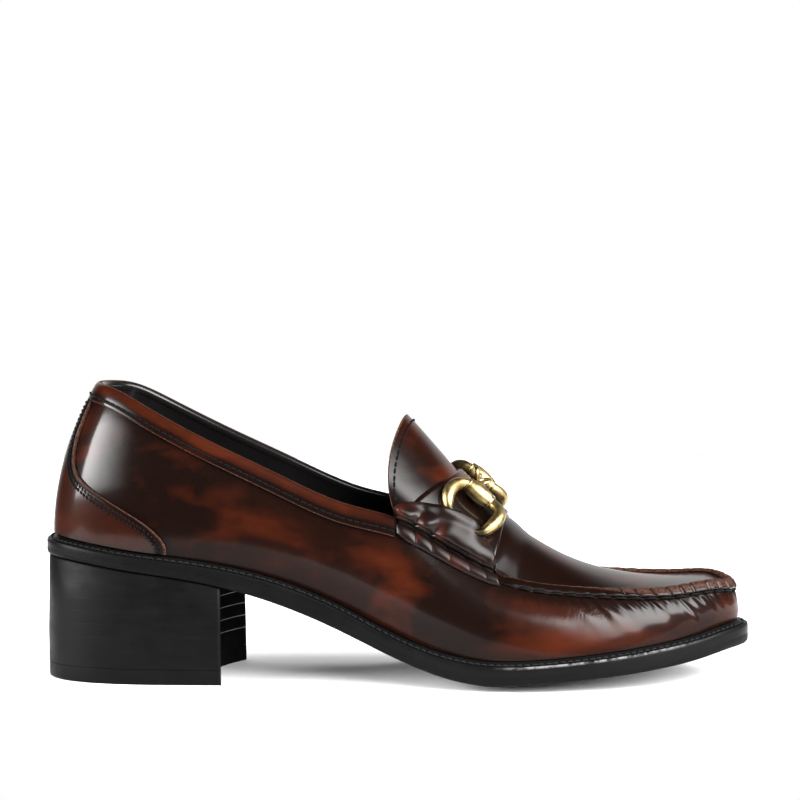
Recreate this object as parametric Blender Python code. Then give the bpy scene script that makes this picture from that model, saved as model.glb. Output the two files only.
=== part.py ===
"""Loafer pump for the right foot: block heel, raised moccasin seam, bit over the instep.

Metres, +Z up. The origin is at the centre of the heel's tread, +X points to the toe and
-Y is the lateral side. Every surface is worked out from the named sizes below and from
tables that have one row for each section along the shoe.
"""

import math

import bmesh
import bpy
import numpy as np
from mathutils import Vector

# Named sizes of the shoe
LENGTH = 0.262
BALL_WIDTH = 0.086
HEEL_HEIGHT = 0.046
TOE_SPRING = 0.0125
SOLE_EDGE = 0.0072
BACK_HEIGHT = 0.056
LEATHER = 0.0018
GAP = 0.0003

# Sole and heel details
BACK_X = -0.0355
OUTSOLE_SHARE = 0.46
TREAD_CROWN = 0.0030
WELT_WIDTH = 0.0056
WELT_BEVEL = 0.0016
FEATHER_INSET = 0.0038
INSOLE_RISE = 0.0015
LIFT_HEIGHT = 0.0055
HEEL_LENGTH = 0.070
BREAST_CURVE = 0.0085

# Raised seam and overlays
SEAM_HEIGHT = 0.0040
SEAM_STEP = 0.0012
SEAM_WIDTH = 0.0024
SEAM_BULGE = 0.0011
SEAM_START = 8.80
BAND_WIDTH = 0.0070
BAND_THICKNESS = 0.0012
COUNTER_THICKNESS = 0.0010
SADDLE_THICKNESS = 0.0014
TONGUE_BOW = 0.0036

# Bit
RING_WIRE = 0.0021
EYE_RADIUS = 0.0023
EYE_WIRE = 0.0008
EYE_LIFT = 0.0048
ARM_RADIUS = 0.0017

# One row for each section, from the back of the heel to the tip of the toe.
# along: share of LENGTH.  lateral, medial: half widths of the sole as shares of BALL_WIDTH.
# rise: underside as a share of HEEL_HEIGHT.  spring: share of TOE_SPRING.  stack: share of SOLE_EDGE.
SOLE_COLUMNS = ("along", "lateral", "medial", "rise", "spring", "stack")
SOLE_TABLE = (
    (0.0000, 0.000, 0.000, 1.000, 0.00, 0.78),
    (0.0153, 0.169, 0.169, 0.998, 0.00, 0.78),
    (0.0611, 0.291, 0.291, 0.976, 0.00, 0.75),
    (0.1336, 0.349, 0.347, 0.913, 0.00, 0.75),
    (0.2252, 0.360, 0.351, 0.835, 0.00, 0.82),
    (0.3244, 0.356, 0.314, 0.693, 0.00, 0.99),
    (0.4275, 0.368, 0.308, 0.463, 0.00, 1.07),
    (0.5305, 0.429, 0.368, 0.202, 0.00, 0.96),
    (0.6298, 0.499, 0.454, 0.050, 0.02, 1.00),
    (0.7214, 0.517, 0.484, 0.000, 0.27, 0.93),
    (0.8053, 0.478, 0.460, 0.000, 0.42, 0.95),
    (0.8740, 0.405, 0.402, 0.000, 0.58, 0.99),
    (0.9313, 0.303, 0.312, 0.000, 0.77, 1.00),
    (0.9733, 0.178, 0.180, 0.000, 0.95, 1.02),
    (1.0000, 0.000, 0.000, 0.000, 1.01, 1.02),
)

# The upper's top edge on the same sections: the collar up to row 7, then the moccasin seam.
# along: share of LENGTH.  lateral, medial: shares of BALL_WIDTH.  height: share of BACK_HEIGHT
# above the welt.  bulge: how far the wall swells outward, as a share of BACK_HEIGHT.
UPPER_COLUMNS = ("along", "lateral", "medial", "height", "bulge")
UPPER_TABLE = (
    (0.0821, 0.000, 0.000, 1.000, 0.071),
    (0.0954, 0.122, 0.122, 0.996, 0.071),
    (0.1260, 0.212, 0.212, 0.977, 0.071),
    (0.1794, 0.265, 0.265, 0.893, 0.068),
    (0.2557, 0.291, 0.288, 0.763, 0.060),
    (0.3435, 0.304, 0.296, 0.663, 0.055),
    (0.4351, 0.320, 0.310, 0.655, 0.055),
    (0.5153, 0.331, 0.324, 0.780, 0.072),
    (0.5897, 0.334, 0.330, 0.688, 0.080),
    (0.6679, 0.337, 0.335, 0.505, 0.072),
    (0.7519, 0.333, 0.331, 0.407, 0.055),
    (0.8282, 0.317, 0.316, 0.352, 0.044),
    (0.8931, 0.272, 0.274, 0.318, 0.034),
    (0.9466, 0.172, 0.176, 0.300, 0.028),
    (0.9740, 0.000, 0.000, 0.256, 0.025),
)

# Crest of the tongue and vamp on sections 7 to 14.
# along: share of LENGTH.  height: share of BACK_HEIGHT above the seam.
# arch: 1 is a round arch over the foot, 2 a flat one.
CREST_COLUMNS = ("along", "height", "arch")
CREST_TABLE = (
    (0.5210, 0.635, 1.08),
    (0.6031, 0.398, 1.15),
    (0.6832, 0.257, 1.40),
    (0.7595, 0.123, 1.70),
    (0.8321, 0.050, 2.00),
    (0.8950, 0.020, 2.00),
    (0.9440, 0.000, 2.00),
    (0.9640, 0.000, 2.00),
)

# Front edge of the heel counter. height: share of the wall.  section: where the edge lies.
COUNTER_COLUMNS = ("height", "section")
COUNTER_TABLE = (
    (0.00, 3.62),
    (0.08, 3.52),
    (0.16, 3.30),
    (0.24, 2.98),
    (0.31, 2.52),
    (0.37, 1.95),
    (0.43, 1.45),
    (0.51, 1.14),
    (0.62, 0.95),
    (0.75, 0.82),
    (1.00, 0.68),
)

# Profile of a tab, across the seam. reach: up the vamp from the seam, or down the wall.
# lift: height over the upper's skin.
TAB_COLUMNS = ("reach", "lift")
TAB_TABLE = (
    (-0.0068, 0.0005),
    (-0.0074, 0.0013),
    (-0.0064, 0.0023),
    (-0.0038, 0.0027),
    (-0.0014, 0.0020),
    (0.0006, 0.0021),
    (0.0026, 0.0038),
    (0.0062, 0.0054),
    (0.0100, 0.0064),
    (0.0126, 0.0064),
    (0.0142, 0.0054),
    (0.0142, 0.0036),
    (0.0130, 0.0024),
    (0.0080, 0.0022),
    (0.0034, 0.0022),
    (0.0020, 0.0007),
    (-0.0014, 0.0006),
)

# Outline of a tab along the seam. section: place on the shoe.  share: of the profile's reach.
# lift: share of the profile's highest lift.
TAB_SHAPE_COLUMNS = ("section", "share", "lift")
TAB_SHAPE_TABLE = (
    (7.02, 0.32, 0.55),
    (7.22, 0.56, 0.80),
    (7.50, 0.76, 0.95),
    (7.75, 0.86, 1.00),
    (8.02, 0.92, 1.00),
    (8.25, 0.90, 1.00),
    (8.45, 0.76, 1.00),
    (8.62, 0.52, 0.80),
    (8.76, 0.28, 0.55),
)

# Centre line of a ring, round its loop. section and across place it on the vamp,
# lift is its height over the skin, wire the share of RING_WIRE.
RING_COLUMNS = ("section", "across", "lift", "wire")
RING_TABLE = (
    (8.16, 0.324, 0.0056, 1.25),
    (8.33, 0.324, 0.0058, 1.12),
    (8.47, 0.308, 0.0066, 0.90),
    (8.54, 0.269, 0.0068, 1.00),
    (8.49, 0.210, 0.0056, 0.90),
    (8.34, 0.152, 0.0042, 0.60),
    (8.08, 0.137, 0.0041, 0.57),
    (7.87, 0.155, 0.0042, 0.65),
    (7.79, 0.211, 0.0044, 1.00),
    (7.82, 0.268, 0.0044, 1.00),
    (7.90, 0.307, 0.0048, 0.90),
    (8.00, 0.322, 0.0053, 1.12),
)

SECTIONS = len(SOLE_TABLE) - 1
RING = 2 * SECTIONS
CORNER = 7
UP = Vector((0.0, 0.0, 1.0))


def spline(values, closed=False):
    """Smooth curve through values at 0, 1, 2 and so on, with continuous curvature."""
    values = np.asarray(values, dtype=float)
    count = len(values)
    matrix = np.zeros((count, count))
    right = np.zeros(count)
    for i in range(count):
        if closed or 0 < i < count - 1:
            matrix[i, (i - 1) % count] += 1.0
            matrix[i, i] += 4.0
            matrix[i, (i + 1) % count] += 1.0
            right[i] = 3.0 * (values[(i + 1) % count] - values[(i - 1) % count])
        else:
            near = 1 if i == 0 else count - 2
            matrix[i, i] = 2.0
            matrix[i, near] = 1.0
            right[i] = 3.0 * (values[near] - values[i]) * (1 if i == 0 else -1)
    slopes = np.linalg.solve(matrix, right)

    def curve(t):
        if closed:
            t = t % count
        else:
            t = min(max(t, 0.0), count - 1.0)
        i = min(int(t), count - 1 if closed else count - 2)
        f = t - i
        j = (i + 1) % count
        a = (1 + 2 * f) * (1 - f) ** 2
        b = f * (1 - f) ** 2
        c = f * f * (3 - 2 * f)
        d = f * f * (f - 1)
        return float(a * values[i] + b * slopes[i] + c * values[j] + d * slopes[j])

    return curve


def column(table, names, name):
    return [row[names.index(name)] for row in table]


def around(lateral, medial):
    """Closed curve over the ring of sections, along the lateral side and back along the medial."""
    return spline(list(lateral) + list(medial[-2:0:-1]), closed=True)


def sole_column(name):
    return column(SOLE_TABLE, SOLE_COLUMNS, name)


def upper_column(name):
    return column(UPPER_TABLE, UPPER_COLUMNS, name)


def crest_column(name):
    return spline(column(CREST_TABLE, CREST_COLUMNS, name))


def step(low, high, value):
    t = min(max((value - low) / (high - low), 0.0), 1.0)
    return t * t * (3 - 2 * t)


def mix(a, b, t):
    return a + (b - a) * t


ALONG = sole_column("along")
OUTLINE_X = around([BACK_X + LENGTH * a for a in ALONG], [BACK_X + LENGTH * a for a in ALONG])
OUTLINE_Y = around([-BALL_WIDTH * a for a in sole_column("lateral")],
                   [BALL_WIDTH * a for a in sole_column("medial")])
TOP_X = around([BACK_X + LENGTH * a for a in upper_column("along")],
               [BACK_X + LENGTH * a for a in upper_column("along")])
TOP_Y = around([-BALL_WIDTH * a for a in upper_column("lateral")],
               [BALL_WIDTH * a for a in upper_column("medial")])
TOP_HEIGHT = around(upper_column("height"), upper_column("height"))
BULGE = around(upper_column("bulge"), upper_column("bulge"))
CREST_X = crest_column("along")
CREST_HEIGHT = crest_column("height")
CREST_ARCH = crest_column("arch")

SAMPLES = [SECTIONS * i / 160 for i in range(161)]
SAMPLE_X = [OUTLINE_X(t) for t in SAMPLES]
RISE = spline(sole_column("rise"))
SPRING = spline(sole_column("spring"))
STACK = spline(sole_column("stack"))
UNDER_Z = [HEEL_HEIGHT * RISE(t) + TOE_SPRING * SPRING(t) for t in SAMPLES]
STACK_Z = [SOLE_EDGE * STACK(t) for t in SAMPLES]
BREAST_X = BACK_X + HEEL_LENGTH


def under_edge(x):
    return float(np.interp(x, SAMPLE_X, UNDER_Z))


def stack_height(x):
    return float(np.interp(x, SAMPLE_X, STACK_Z))


def welt_edge(x):
    return under_edge(x) + stack_height(x)


def outsole_top(x):
    return under_edge(x) + OUTSOLE_SHARE * stack_height(x)


def tread(x, across):
    """Underside of the outsole: crowned under the ball and cut off flat on the floor."""
    toe = BACK_X + LENGTH
    crown = TREAD_CROWN * step(BREAST_X - 0.002, BREAST_X + 0.050, x)
    crown *= 1 - step(toe - 0.045, toe - 0.003, x)
    return max(under_edge(x) - crown * (1 - across * across), 0.0)


def outline(u, inset=0.0):
    """Point of the sole's outline at ring place u, moved inward by inset, at z = 0."""
    h = 0.02
    x, y = OUTLINE_X(u), OUTLINE_Y(u)
    tx = OUTLINE_X(u + h) - OUTLINE_X(u - h)
    ty = OUTLINE_Y(u + h) - OUTLINE_Y(u - h)
    size = math.hypot(tx, ty)
    return Vector((x - ty / size * inset, y + tx / size * inset, 0.0))


def foot_point(u, inset=FEATHER_INSET):
    p = outline(u, inset)
    p.z = welt_edge(p.x) + WELT_BEVEL + GAP
    return p


def seam_raise(u):
    """How much of the raised seam there is: none at the collar, all of it in front of the tabs."""
    u = min(u % RING, RING - u % RING)
    return step(SEAM_START, SEAM_START + 0.34, u)


def top_point(u):
    x = TOP_X(u)
    return Vector((x, TOP_Y(u), foot_point(u).z + BACK_HEIGHT * TOP_HEIGHT(u)))


def seam_inward(u):
    h = 0.02
    tx = TOP_X(u + h) - TOP_X(u - h)
    ty = TOP_Y(u + h) - TOP_Y(u - h)
    size = math.hypot(tx, ty)
    return Vector((-ty / size, tx / size, 0.0))


def wall_point(u, v):
    """The upper's outer skin between the welt (v = 0) and its top edge (v = 1)."""
    h = 0.02
    foot = foot_point(u)
    chord = top_point(u) - foot
    along = foot_point(u + h) - foot_point(u - h)
    out = along.cross(chord).normalized()
    if out.dot(seam_inward(u)) > 0:
        out = -out
    return foot + chord * v + out * (BACK_HEIGHT * BULGE(u) * 4 * v * (1 - v))


def wall_normal(u, v):
    h = 0.02
    low, high = max(v - 0.02, 0.0), min(v + 0.02, 1.0)
    across = wall_point(u, high) - wall_point(u, low)
    along = wall_point(u + h, v) - wall_point(u - h, v)
    out = along.cross(across).normalized()
    return -out if out.dot(seam_inward(u)) > 0 else out


def wall_length(u):
    return (top_point(u) - foot_point(u)).length


def arch_edge(u):
    """Where the apron starts, just inside the raised seam."""
    e = seam_raise(u)
    inward = mix(0.0005, SEAM_WIDTH, e)
    up = mix(0.0010, -SEAM_STEP, e)
    return top_point(u) + seam_inward(u) * inward + UP * up


def crest_point(u):
    t = u - CORNER
    seam = 0.5 * (top_point(u).z + top_point(RING - u).z) - SEAM_STEP * seam_raise(u)
    y = 0.5 * (TOP_Y(u) + TOP_Y(RING - u))
    return Vector((BACK_X + LENGTH * CREST_X(t), y, seam + BACK_HEIGHT * CREST_HEIGHT(t)))


def arch_point(u, w):
    """Vamp, apron and tongue: w runs from the lateral seam (0) over the crest to the medial (1)."""
    a = arch_edge(u)
    b = arch_edge(RING - u)
    k = crest_point(u)
    if u > SECTIONS - 0.001:
        return a
    q = math.sin(math.pi * w)
    c = 0.5 * (1 - math.cos(math.pi * w))
    base = a.lerp(b, c)
    bow = TONGUE_BOW * 4 * q * (1 - q) * (1 - step(CORNER, CORNER + 1.0, u))
    toe = step(SECTIONS - 1.2, SECTIONS, u)
    power = CREST_ARCH(u - CORNER)
    return Vector((base.x + (k.x - 0.5 * (a.x + b.x)) * q * (1 - toe) - bow, base.y,
                   base.z + (k.z - 0.5 * (a.z + b.z)) * q ** power * (1 - toe)))


def arch_normal(u, w):
    h = 0.02
    w = min(max(w, 0.03), 0.97)
    u = min(u, SECTIONS - 0.25)
    along = arch_point(u + h, w) - arch_point(max(u - h, CORNER), w)
    across = arch_point(u, w + 0.01) - arch_point(u, w - 0.01)
    out = along.cross(across).normalized()
    return -out if out.z < 0 else out


def skin(u, reach):
    """Point and normal of the bare skin at a distance up the vamp from the seam, or down the wall."""
    medial = u > SECTIONS
    front = RING - u if medial else u
    down = wall_normal(u, 1 - 0.003 / wall_length(u))
    if reach <= 0:
        v = 1 + reach / wall_length(u)
        point = wall_point(u, v)
        side = wall_normal(u, min(v, 1 - 0.003 / wall_length(u)))
        blend = 0.5 * step(-0.004, 0.0, reach)
        up_n = arch_normal(front, 0.97 if medial else 0.03)
        return point, side.lerp(up_n, blend).normalized()
    steps = 60
    last = arch_point(front, 1.0 if medial else 0.0)
    gone = (last - top_point(u)).length
    if reach <= gone:
        point = top_point(u).lerp(last, reach / gone)
        up_n = arch_normal(front, 0.97 if medial else 0.03)
        return point, down.lerp(up_n, 0.5).normalized()
    for i in range(1, steps + 1):
        w = 0.5 * i / steps
        side_w = 1 - w if medial else w
        here = arch_point(front, side_w)
        size = (here - last).length
        if gone + size >= reach:
            part = (reach - gone) / size
            w = 0.5 * (i - 1 + part) / steps
            up_n = arch_normal(front, 1 - w if medial else w)
            blend = 0.5 + 0.5 * step(0.0, 0.004, reach)
            return last.lerp(here, part), down.lerp(up_n, blend).normalized()
        gone += size
        last = here
    return last, arch_normal(front, 0.5)


def new_object(name, bm, colour, roughness, metallic, smooth=True):
    bmesh.ops.remove_doubles(bm, verts=bm.verts[:], dist=0.00001)
    bmesh.ops.dissolve_degenerate(bm, edges=bm.edges[:], dist=0.000001)
    bmesh.ops.recalc_face_normals(bm, faces=bm.faces[:])
    mesh = bpy.data.meshes.new(name)
    bm.to_mesh(mesh)
    bm.free()
    for face in mesh.polygons:
        face.use_smooth = smooth
    material = bpy.data.materials.new(name + "_material")
    material.use_nodes = True
    shader = material.node_tree.nodes["Principled BSDF"]
    shader.inputs["Base Color"].default_value = (*colour, 1.0)
    shader.inputs["Roughness"].default_value = roughness
    shader.inputs["Metallic"].default_value = metallic
    material.diffuse_color = (*colour, 1.0)
    mesh.materials.append(material)
    obj = bpy.data.objects.new(name, mesh)
    bpy.context.scene.collection.objects.link(obj)
    return obj


def quads(bm, grid, wrap=False):
    """Faces of a grid of vertices."""
    rows = len(grid) if wrap else len(grid) - 1
    for i in range(rows):
        a, b = grid[i], grid[(i + 1) % len(grid)]
        for j in range(len(a) - 1):
            make_face(bm, (a[j], b[j], b[j + 1], a[j + 1]))


def make_face(bm, verts):
    unique = []
    for v in verts:
        if v not in unique:
            unique.append(v)
    if len(unique) > 2:
        bm.faces.new(unique)


def vertex_grid(bm, points):
    return [[bm.verts.new(p) for p in row] for row in points]


def strip(bm, first, second):
    for i in range(len(first) - 1):
        make_face(bm, (first[i], first[i + 1], second[i + 1], second[i]))


def shell(name, outer, inner, look):
    """Closed solid between two grids of the same shape."""
    bm = bmesh.new()
    top = vertex_grid(bm, outer)
    low = vertex_grid(bm, inner)
    quads(bm, top)
    quads(bm, low)
    strip(bm, top[0], low[0])
    strip(bm, top[-1], low[-1])
    strip(bm, [row[0] for row in top], [row[0] for row in low])
    strip(bm, [row[-1] for row in top], [row[-1] for row in low])
    return new_object(name, bm, *look)


def sweep(name, loops, look, closed=False):
    """Closed solid through cross-section loops, joined end to end or capped."""
    bm = bmesh.new()
    grid = [row + [row[0]] for row in vertex_grid(bm, loops)]
    quads(bm, grid, wrap=closed)
    if not closed:
        bm.faces.new(grid[0][:-1])
        bm.faces.new(grid[-1][:-1])
    return new_object(name, bm, *look)


def stations(first, last):
    """Ring places between two sections, closer together round the heel and the toe."""
    places = []
    for row in range(SECTIONS):
        parts = 3 if row < 3 or row >= 11 else 2
        places += [row + k / parts for k in range(parts)]
    places.append(SECTIONS)
    places.append(SEAM_START)
    places = sorted(p for p in places if first <= p <= last)
    if places[0] > first + 0.01:
        places.insert(0, first)
    if places[-1] < last - 0.01:
        places.append(last)
    return places


def ring_stations():
    lateral = stations(0, SECTIONS)
    return lateral + [RING - p for p in reversed(lateral[1:-1])]


def plate(name, look, last, lower, upper, profile, columns):
    """Plate under the foot. profile lists the inset and the height share of its side, from below."""
    low, high, side = [], [], []
    places = stations(0, last)
    for u in places:
        rows = []
        for inset, share in profile:
            a = outline(u, inset)
            b = outline(-u, inset)
            line = []
            for k in range(columns + 1):
                across = 2 * k / columns - 1
                p = a.lerp(b, k / columns)
                p = front_curve(p, across, u, last)
                bottom = lower(p.x, across)
                top = upper(p.x, across)
                line.append(Vector((p.x, p.y, mix(bottom, top, share))))
            rows.append(line)
        low.append(rows[0])
        high.append(rows[-1])
        side.append(rows)
    bm = bmesh.new()
    low_grid = vertex_grid(bm, low)
    high_grid = vertex_grid(bm, high)
    quads(bm, low_grid)
    quads(bm, high_grid)
    for edge in (0, -1):
        levels = vertex_grid(bm, [[rows[n][edge] for rows in side] for n in range(1, len(profile) - 1)])
        levels = [[row[edge] for row in low_grid]] + levels + [[row[edge] for row in high_grid]]
        for a, b in zip(levels, levels[1:]):
            strip(bm, a, b)
    if last < SECTIONS:
        levels = vertex_grid(bm, [side[-1][n] for n in range(1, len(profile) - 1)])
        levels = [low_grid[-1]] + levels + [high_grid[-1]]
        for a, b in zip(levels, levels[1:]):
            strip(bm, a, b)
    return new_object(name, bm, *look)


def front_curve(p, across, u, last):
    """Hollow the heel's front edge. Full plates have no front edge to hollow."""
    if last >= SECTIONS:
        return p
    return Vector((p.x - BREAST_CURVE * (1 - across * across) * (u / last) ** 2, p.y, 0.0))


def section_at(x):
    return float(np.interp(x, SAMPLE_X, SAMPLES))


def build_outsole(look):
    edge = ((0.0012, 0.0), (0.0002, 0.25), (0.0, 0.55), (0.0003, 1.0))
    return plate("outsole", look, SECTIONS, tread, lambda x, a: outsole_top(x), edge, 6)


def build_insole(look):
    inset = FEATHER_INSET + LEATHER + 0.0007
    edge = ((inset, 0.0), (inset, 0.8), (inset + 0.0012, 1.0))
    return plate("insole", look, SECTIONS, lambda x, a: outsole_top(x) + GAP,
                 lambda x, a: welt_edge(x) + WELT_BEVEL + INSOLE_RISE, edge, 4)


def build_heel(look):
    edge = ((0.0, 0.0), (0.0004, 0.5), (0.0008, 1.0))
    return plate("heel", look, section_at(BREAST_X), lambda x, a: LIFT_HEIGHT + GAP,
                 lambda x, a: under_edge(x) - GAP - seat_crown(x, a), edge, 6)


def seat_crown(x, across):
    """Follow the crown where the outsole leaves the heel."""
    return under_edge(x) - tread(x, across)


def build_top_lift(look):
    edge = ((0.0005, 0.0), (-0.0002, 0.2), (-0.0002, 1.0))
    return plate("top_lift", look, section_at(BREAST_X), lambda x, a: 0.0,
                 lambda x, a: LIFT_HEIGHT, edge, 6)


def build_welt(look):
    loops = []
    for u in ring_stations():
        inner = outline(u, WELT_WIDTH)
        loop = []
        for inset, share, bevel in ((0.0008, 0.0, 0.0), (0.0, 0.25, 0.0), (0.0, 0.8, 0.0),
                                    (0.0007, 1.0, 0.15), (FEATHER_INSET - 0.0002, 1.0, 1.0)):
            p = outline(u, inset)
            low = outsole_top(p.x) + GAP
            p.z = mix(low, welt_edge(p.x), share) + WELT_BEVEL * bevel
            loop.append(p)
        loop.append(Vector((inner.x, inner.y, welt_edge(inner.x) + WELT_BEVEL)))
        loop.append(Vector((inner.x, inner.y, outsole_top(inner.x) + GAP)))
        loops.append(loop)
    return sweep("welt", loops, look, closed=True)


def wall_levels(u):
    """Heights of the wall's rows as (share, outward bulge): even below, then the raised seam."""
    length = wall_length(u)
    e = seam_raise(u)
    levels = [(k / 6 * (1 - (SEAM_HEIGHT + 0.0006) / length), 0.0) for k in range(7)]
    levels.append((1 - (SEAM_HEIGHT - 0.0004) / length, SEAM_BULGE * e))
    levels.append((1 - 0.0009 / length, (SEAM_BULGE + 0.0001) * e))
    levels.append((1.0, 0.0004 * e))
    return levels


def inner_seam(u):
    e = seam_raise(u)
    return top_point(u) + seam_inward(u) * (LEATHER + 0.0006 * e) - UP * (SEAM_STEP + LEATHER) * e


def wall_column(u):
    outer, inner = [], []
    for n, (v, bulge) in enumerate(wall_levels(u)):
        normal = wall_normal(u, v)
        outer.append(wall_point(u, v) + normal * bulge)
        if n == 0:
            inner.append(foot_point(u, FEATHER_INSET + LEATHER))
        elif v == 1.0 and CORNER <= min(u, RING - u):
            inner.append(inner_seam(u))
        else:
            inner.append(wall_point(u, v) - normal * LEATHER)
    return outer, inner


def apron_row(u, columns):
    e = seam_raise(u)
    outer, inner = [], []
    for side, ends in ((u, (0, 1)), (RING - u, (1, 0))):
        t = top_point(side) + wall_normal(side, 1.0) * 0.0004 * e
        edge = arch_edge(side)
        ridge = mix(top_point(side), edge, 0.5) + UP * (0.5 * SEAM_STEP * e)
        group = [t, ridge, edge]
        outer.append(group if ends == (0, 1) else group[::-1])
        inner.append([inner_seam(side)] * 3)
    middle_outer, middle_inner = [], []
    for k in range(1, columns):
        w = k / columns
        p = arch_point(u, w)
        middle_outer.append(p)
        tip = u > SECTIONS - 0.001
        middle_inner.append(inner_seam(u) if tip else p - arch_normal(u, w) * LEATHER)
    return outer[0] + middle_outer + outer[1], inner[0] + middle_inner + inner[1]


def build_upper(look):
    bm = bmesh.new()
    places = ring_stations()
    columns = [wall_column(u) for u in places]
    outer = vertex_grid(bm, [c[0] for c in columns])
    inner = vertex_grid(bm, [c[1] for c in columns])
    quads(bm, outer, wrap=True)
    quads(bm, inner, wrap=True)
    count = len(places)
    for i in range(count):
        j = (i + 1) % count
        make_face(bm, (outer[i][0], outer[j][0], inner[j][0], inner[i][0]))
        a, b = places[i], places[j] if j else RING
        if b <= CORNER or a >= RING - CORNER:
            make_face(bm, (outer[i][-1], outer[j][-1], inner[j][-1], inner[i][-1]))
    rows = [apron_row(u, 12) for u in stations(CORNER, SECTIONS)]
    top = vertex_grid(bm, [r[0] for r in rows])
    low = vertex_grid(bm, [r[1] for r in rows])
    quads(bm, top)
    quads(bm, low)
    strip(bm, top[0], low[0])
    return new_object("upper", bm, *look)


def build_band(look):
    loops = []
    end = CORNER - 0.03
    places = stations(0, end)
    for u in [-p for p in reversed(places[1:])] + places:
        length = wall_length(u)
        loop = []
        for down, lift in ((0.0, 0.0), (0.0035, 0.0), (BAND_WIDTH, 0.0), (BAND_WIDTH, 0.8),
                           (BAND_WIDTH - 0.0018, 1.0), (0.0014, 1.0), (0.0, 0.6)):
            v = 1 - down / length
            height = GAP + BAND_THICKNESS * lift
            loop.append(wall_point(u, v) + wall_normal(u, v) * height)
        loops.append(loop)
    return sweep("collar_band", loops, look)


def build_counter(look):
    heights = column(COUNTER_TABLE, COUNTER_COLUMNS, "height")
    edges = column(COUNTER_TABLE, COUNTER_COLUMNS, "section")
    outer, inner = [], []
    columns = 24
    for share, edge in zip(heights, edges):
        top_row, low_row = [], []
        for k in range(columns + 1):
            across = 2 * k / columns - 1
            u = edge * across * abs(across) ** 0.3
            length = wall_length(u)
            low = 0.0007 / length
            high = 1 - (BAND_WIDTH + 0.0004) / length
            v = mix(low, high, share)
            thick = COUNTER_THICKNESS * (0.7 if share in (0.0, 1.0) or k in (0, columns) else 1.0)
            normal = wall_normal(u, v)
            top_row.append(wall_point(u, v) + normal * (GAP + 0.0002 + thick))
            low_row.append(wall_point(u, v) + normal * (GAP + 0.0002))
        outer.append(top_row)
        inner.append(low_row)
    return shell("heel_counter", outer, inner, look)


def build_saddle(look):
    outer, inner = [], []
    for k in range(13):
        w = mix(0.07, 0.93, k / 12)
        q = math.sin(math.pi * w)
        first = 7.16 + 0.69 * q
        last = 8.78 - 0.08 * q
        top_row, low_row = [], []
        for n in range(6):
            u = mix(first, last, n / 5)
            p = arch_point(u, w)
            normal = arch_normal(u, w)
            thick = SADDLE_THICKNESS * (0.6 if n in (0, 5) else 1.0)
            top_row.append(p + normal * (GAP + thick))
            low_row.append(p + normal * GAP)
        outer.append(top_row)
        inner.append(low_row)
    return shell("saddle", outer, inner, look)


def tab_point(u, reach, lift):
    point, normal = skin(u, reach)
    return point + normal * lift


def build_tab(name, look, side):
    loops = []
    for u, share, high in TAB_SHAPE_TABLE:
        place = u if side < 0 else RING - u
        loop = []
        for reach, lift in TAB_TABLE:
            if reach > 0:
                reach *= share
            else:
                reach *= mix(0.7, 1.0, min(high, 0.8) / 0.8)
            if lift > 0.0025:
                lift = mix(0.0025, lift, high)
            loop.append(tab_point(place, reach, lift))
        loops.append(loop)
    return sweep(name, loops, look)


def tube(name, points, radii, look, sides=8, closed=True):
    loops = []
    count = len(points)
    turn = None
    for i, p in enumerate(points):
        ahead = points[(i + 1) % count] if closed or i + 1 < count else p
        behind = points[i - 1] if closed or i else p
        way = (ahead - behind).normalized()
        if turn is None:
            turn = way.orthogonal()
        turn = (turn - way * turn.dot(way)).normalized()
        other = way.cross(turn)
        loop = []
        for k in range(sides):
            angle = 2 * math.pi * k / sides
            loop.append(p + (turn * math.cos(angle) + other * math.sin(angle)) * radii[i])
        loops.append(loop)
    return sweep(name, loops, look, closed=closed)


def ring_path(side, count=30):
    keys = {name: spline(column(RING_TABLE, RING_COLUMNS, name), closed=True) for name in RING_COLUMNS}
    points, radii = [], []
    for i in range(count):
        t = len(RING_TABLE) * i / count
        u = keys["section"](t)
        w = keys["across"](t)
        w = w if side < 0 else 1 - w
        points.append(arch_point(u, w) + arch_normal(u, w) * keys["lift"](t))
        radii.append(RING_WIRE * keys["wire"](t))
    return points, radii


def loop_normal(points):
    """Normal of the plane that a closed loop of points lies nearest to."""
    centre = sum(points, Vector()) / len(points)
    total = Vector()
    for a, b in zip(points, points[1:] + points[:1]):
        total += (a - centre).cross(b - centre)
    return total.normalized()


def loop_tube(name, points, radii, look, sides=8):
    """Closed tube whose cross-sections all share the loop's own normal, so it never twists."""
    normal = loop_normal(points)
    loops = []
    count = len(points)
    for i, p in enumerate(points):
        way = (points[(i + 1) % count] - points[i - 1]).normalized()
        flat = way.cross(normal).normalized()
        up = flat.cross(way)
        loops.append([p + (flat * math.cos(2 * math.pi * k / sides) +
                           up * math.sin(2 * math.pi * k / sides)) * radii[i]
                      for k in range(sides)])
    return sweep(name, loops, look, closed=True)


def boolean(target, other, operation):
    modifier = target.modifiers.new(operation.lower(), "BOOLEAN")
    modifier.operation = operation
    modifier.solver = "EXACT"
    modifier.object = other
    graph = bpy.context.evaluated_depsgraph_get()
    mesh = bpy.data.meshes.new_from_object(target.evaluated_get(graph))
    target.modifiers.clear()
    old = target.data
    target.data = mesh
    mesh.name = target.name
    bpy.data.meshes.remove(old)
    bpy.data.objects.remove(other)


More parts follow.
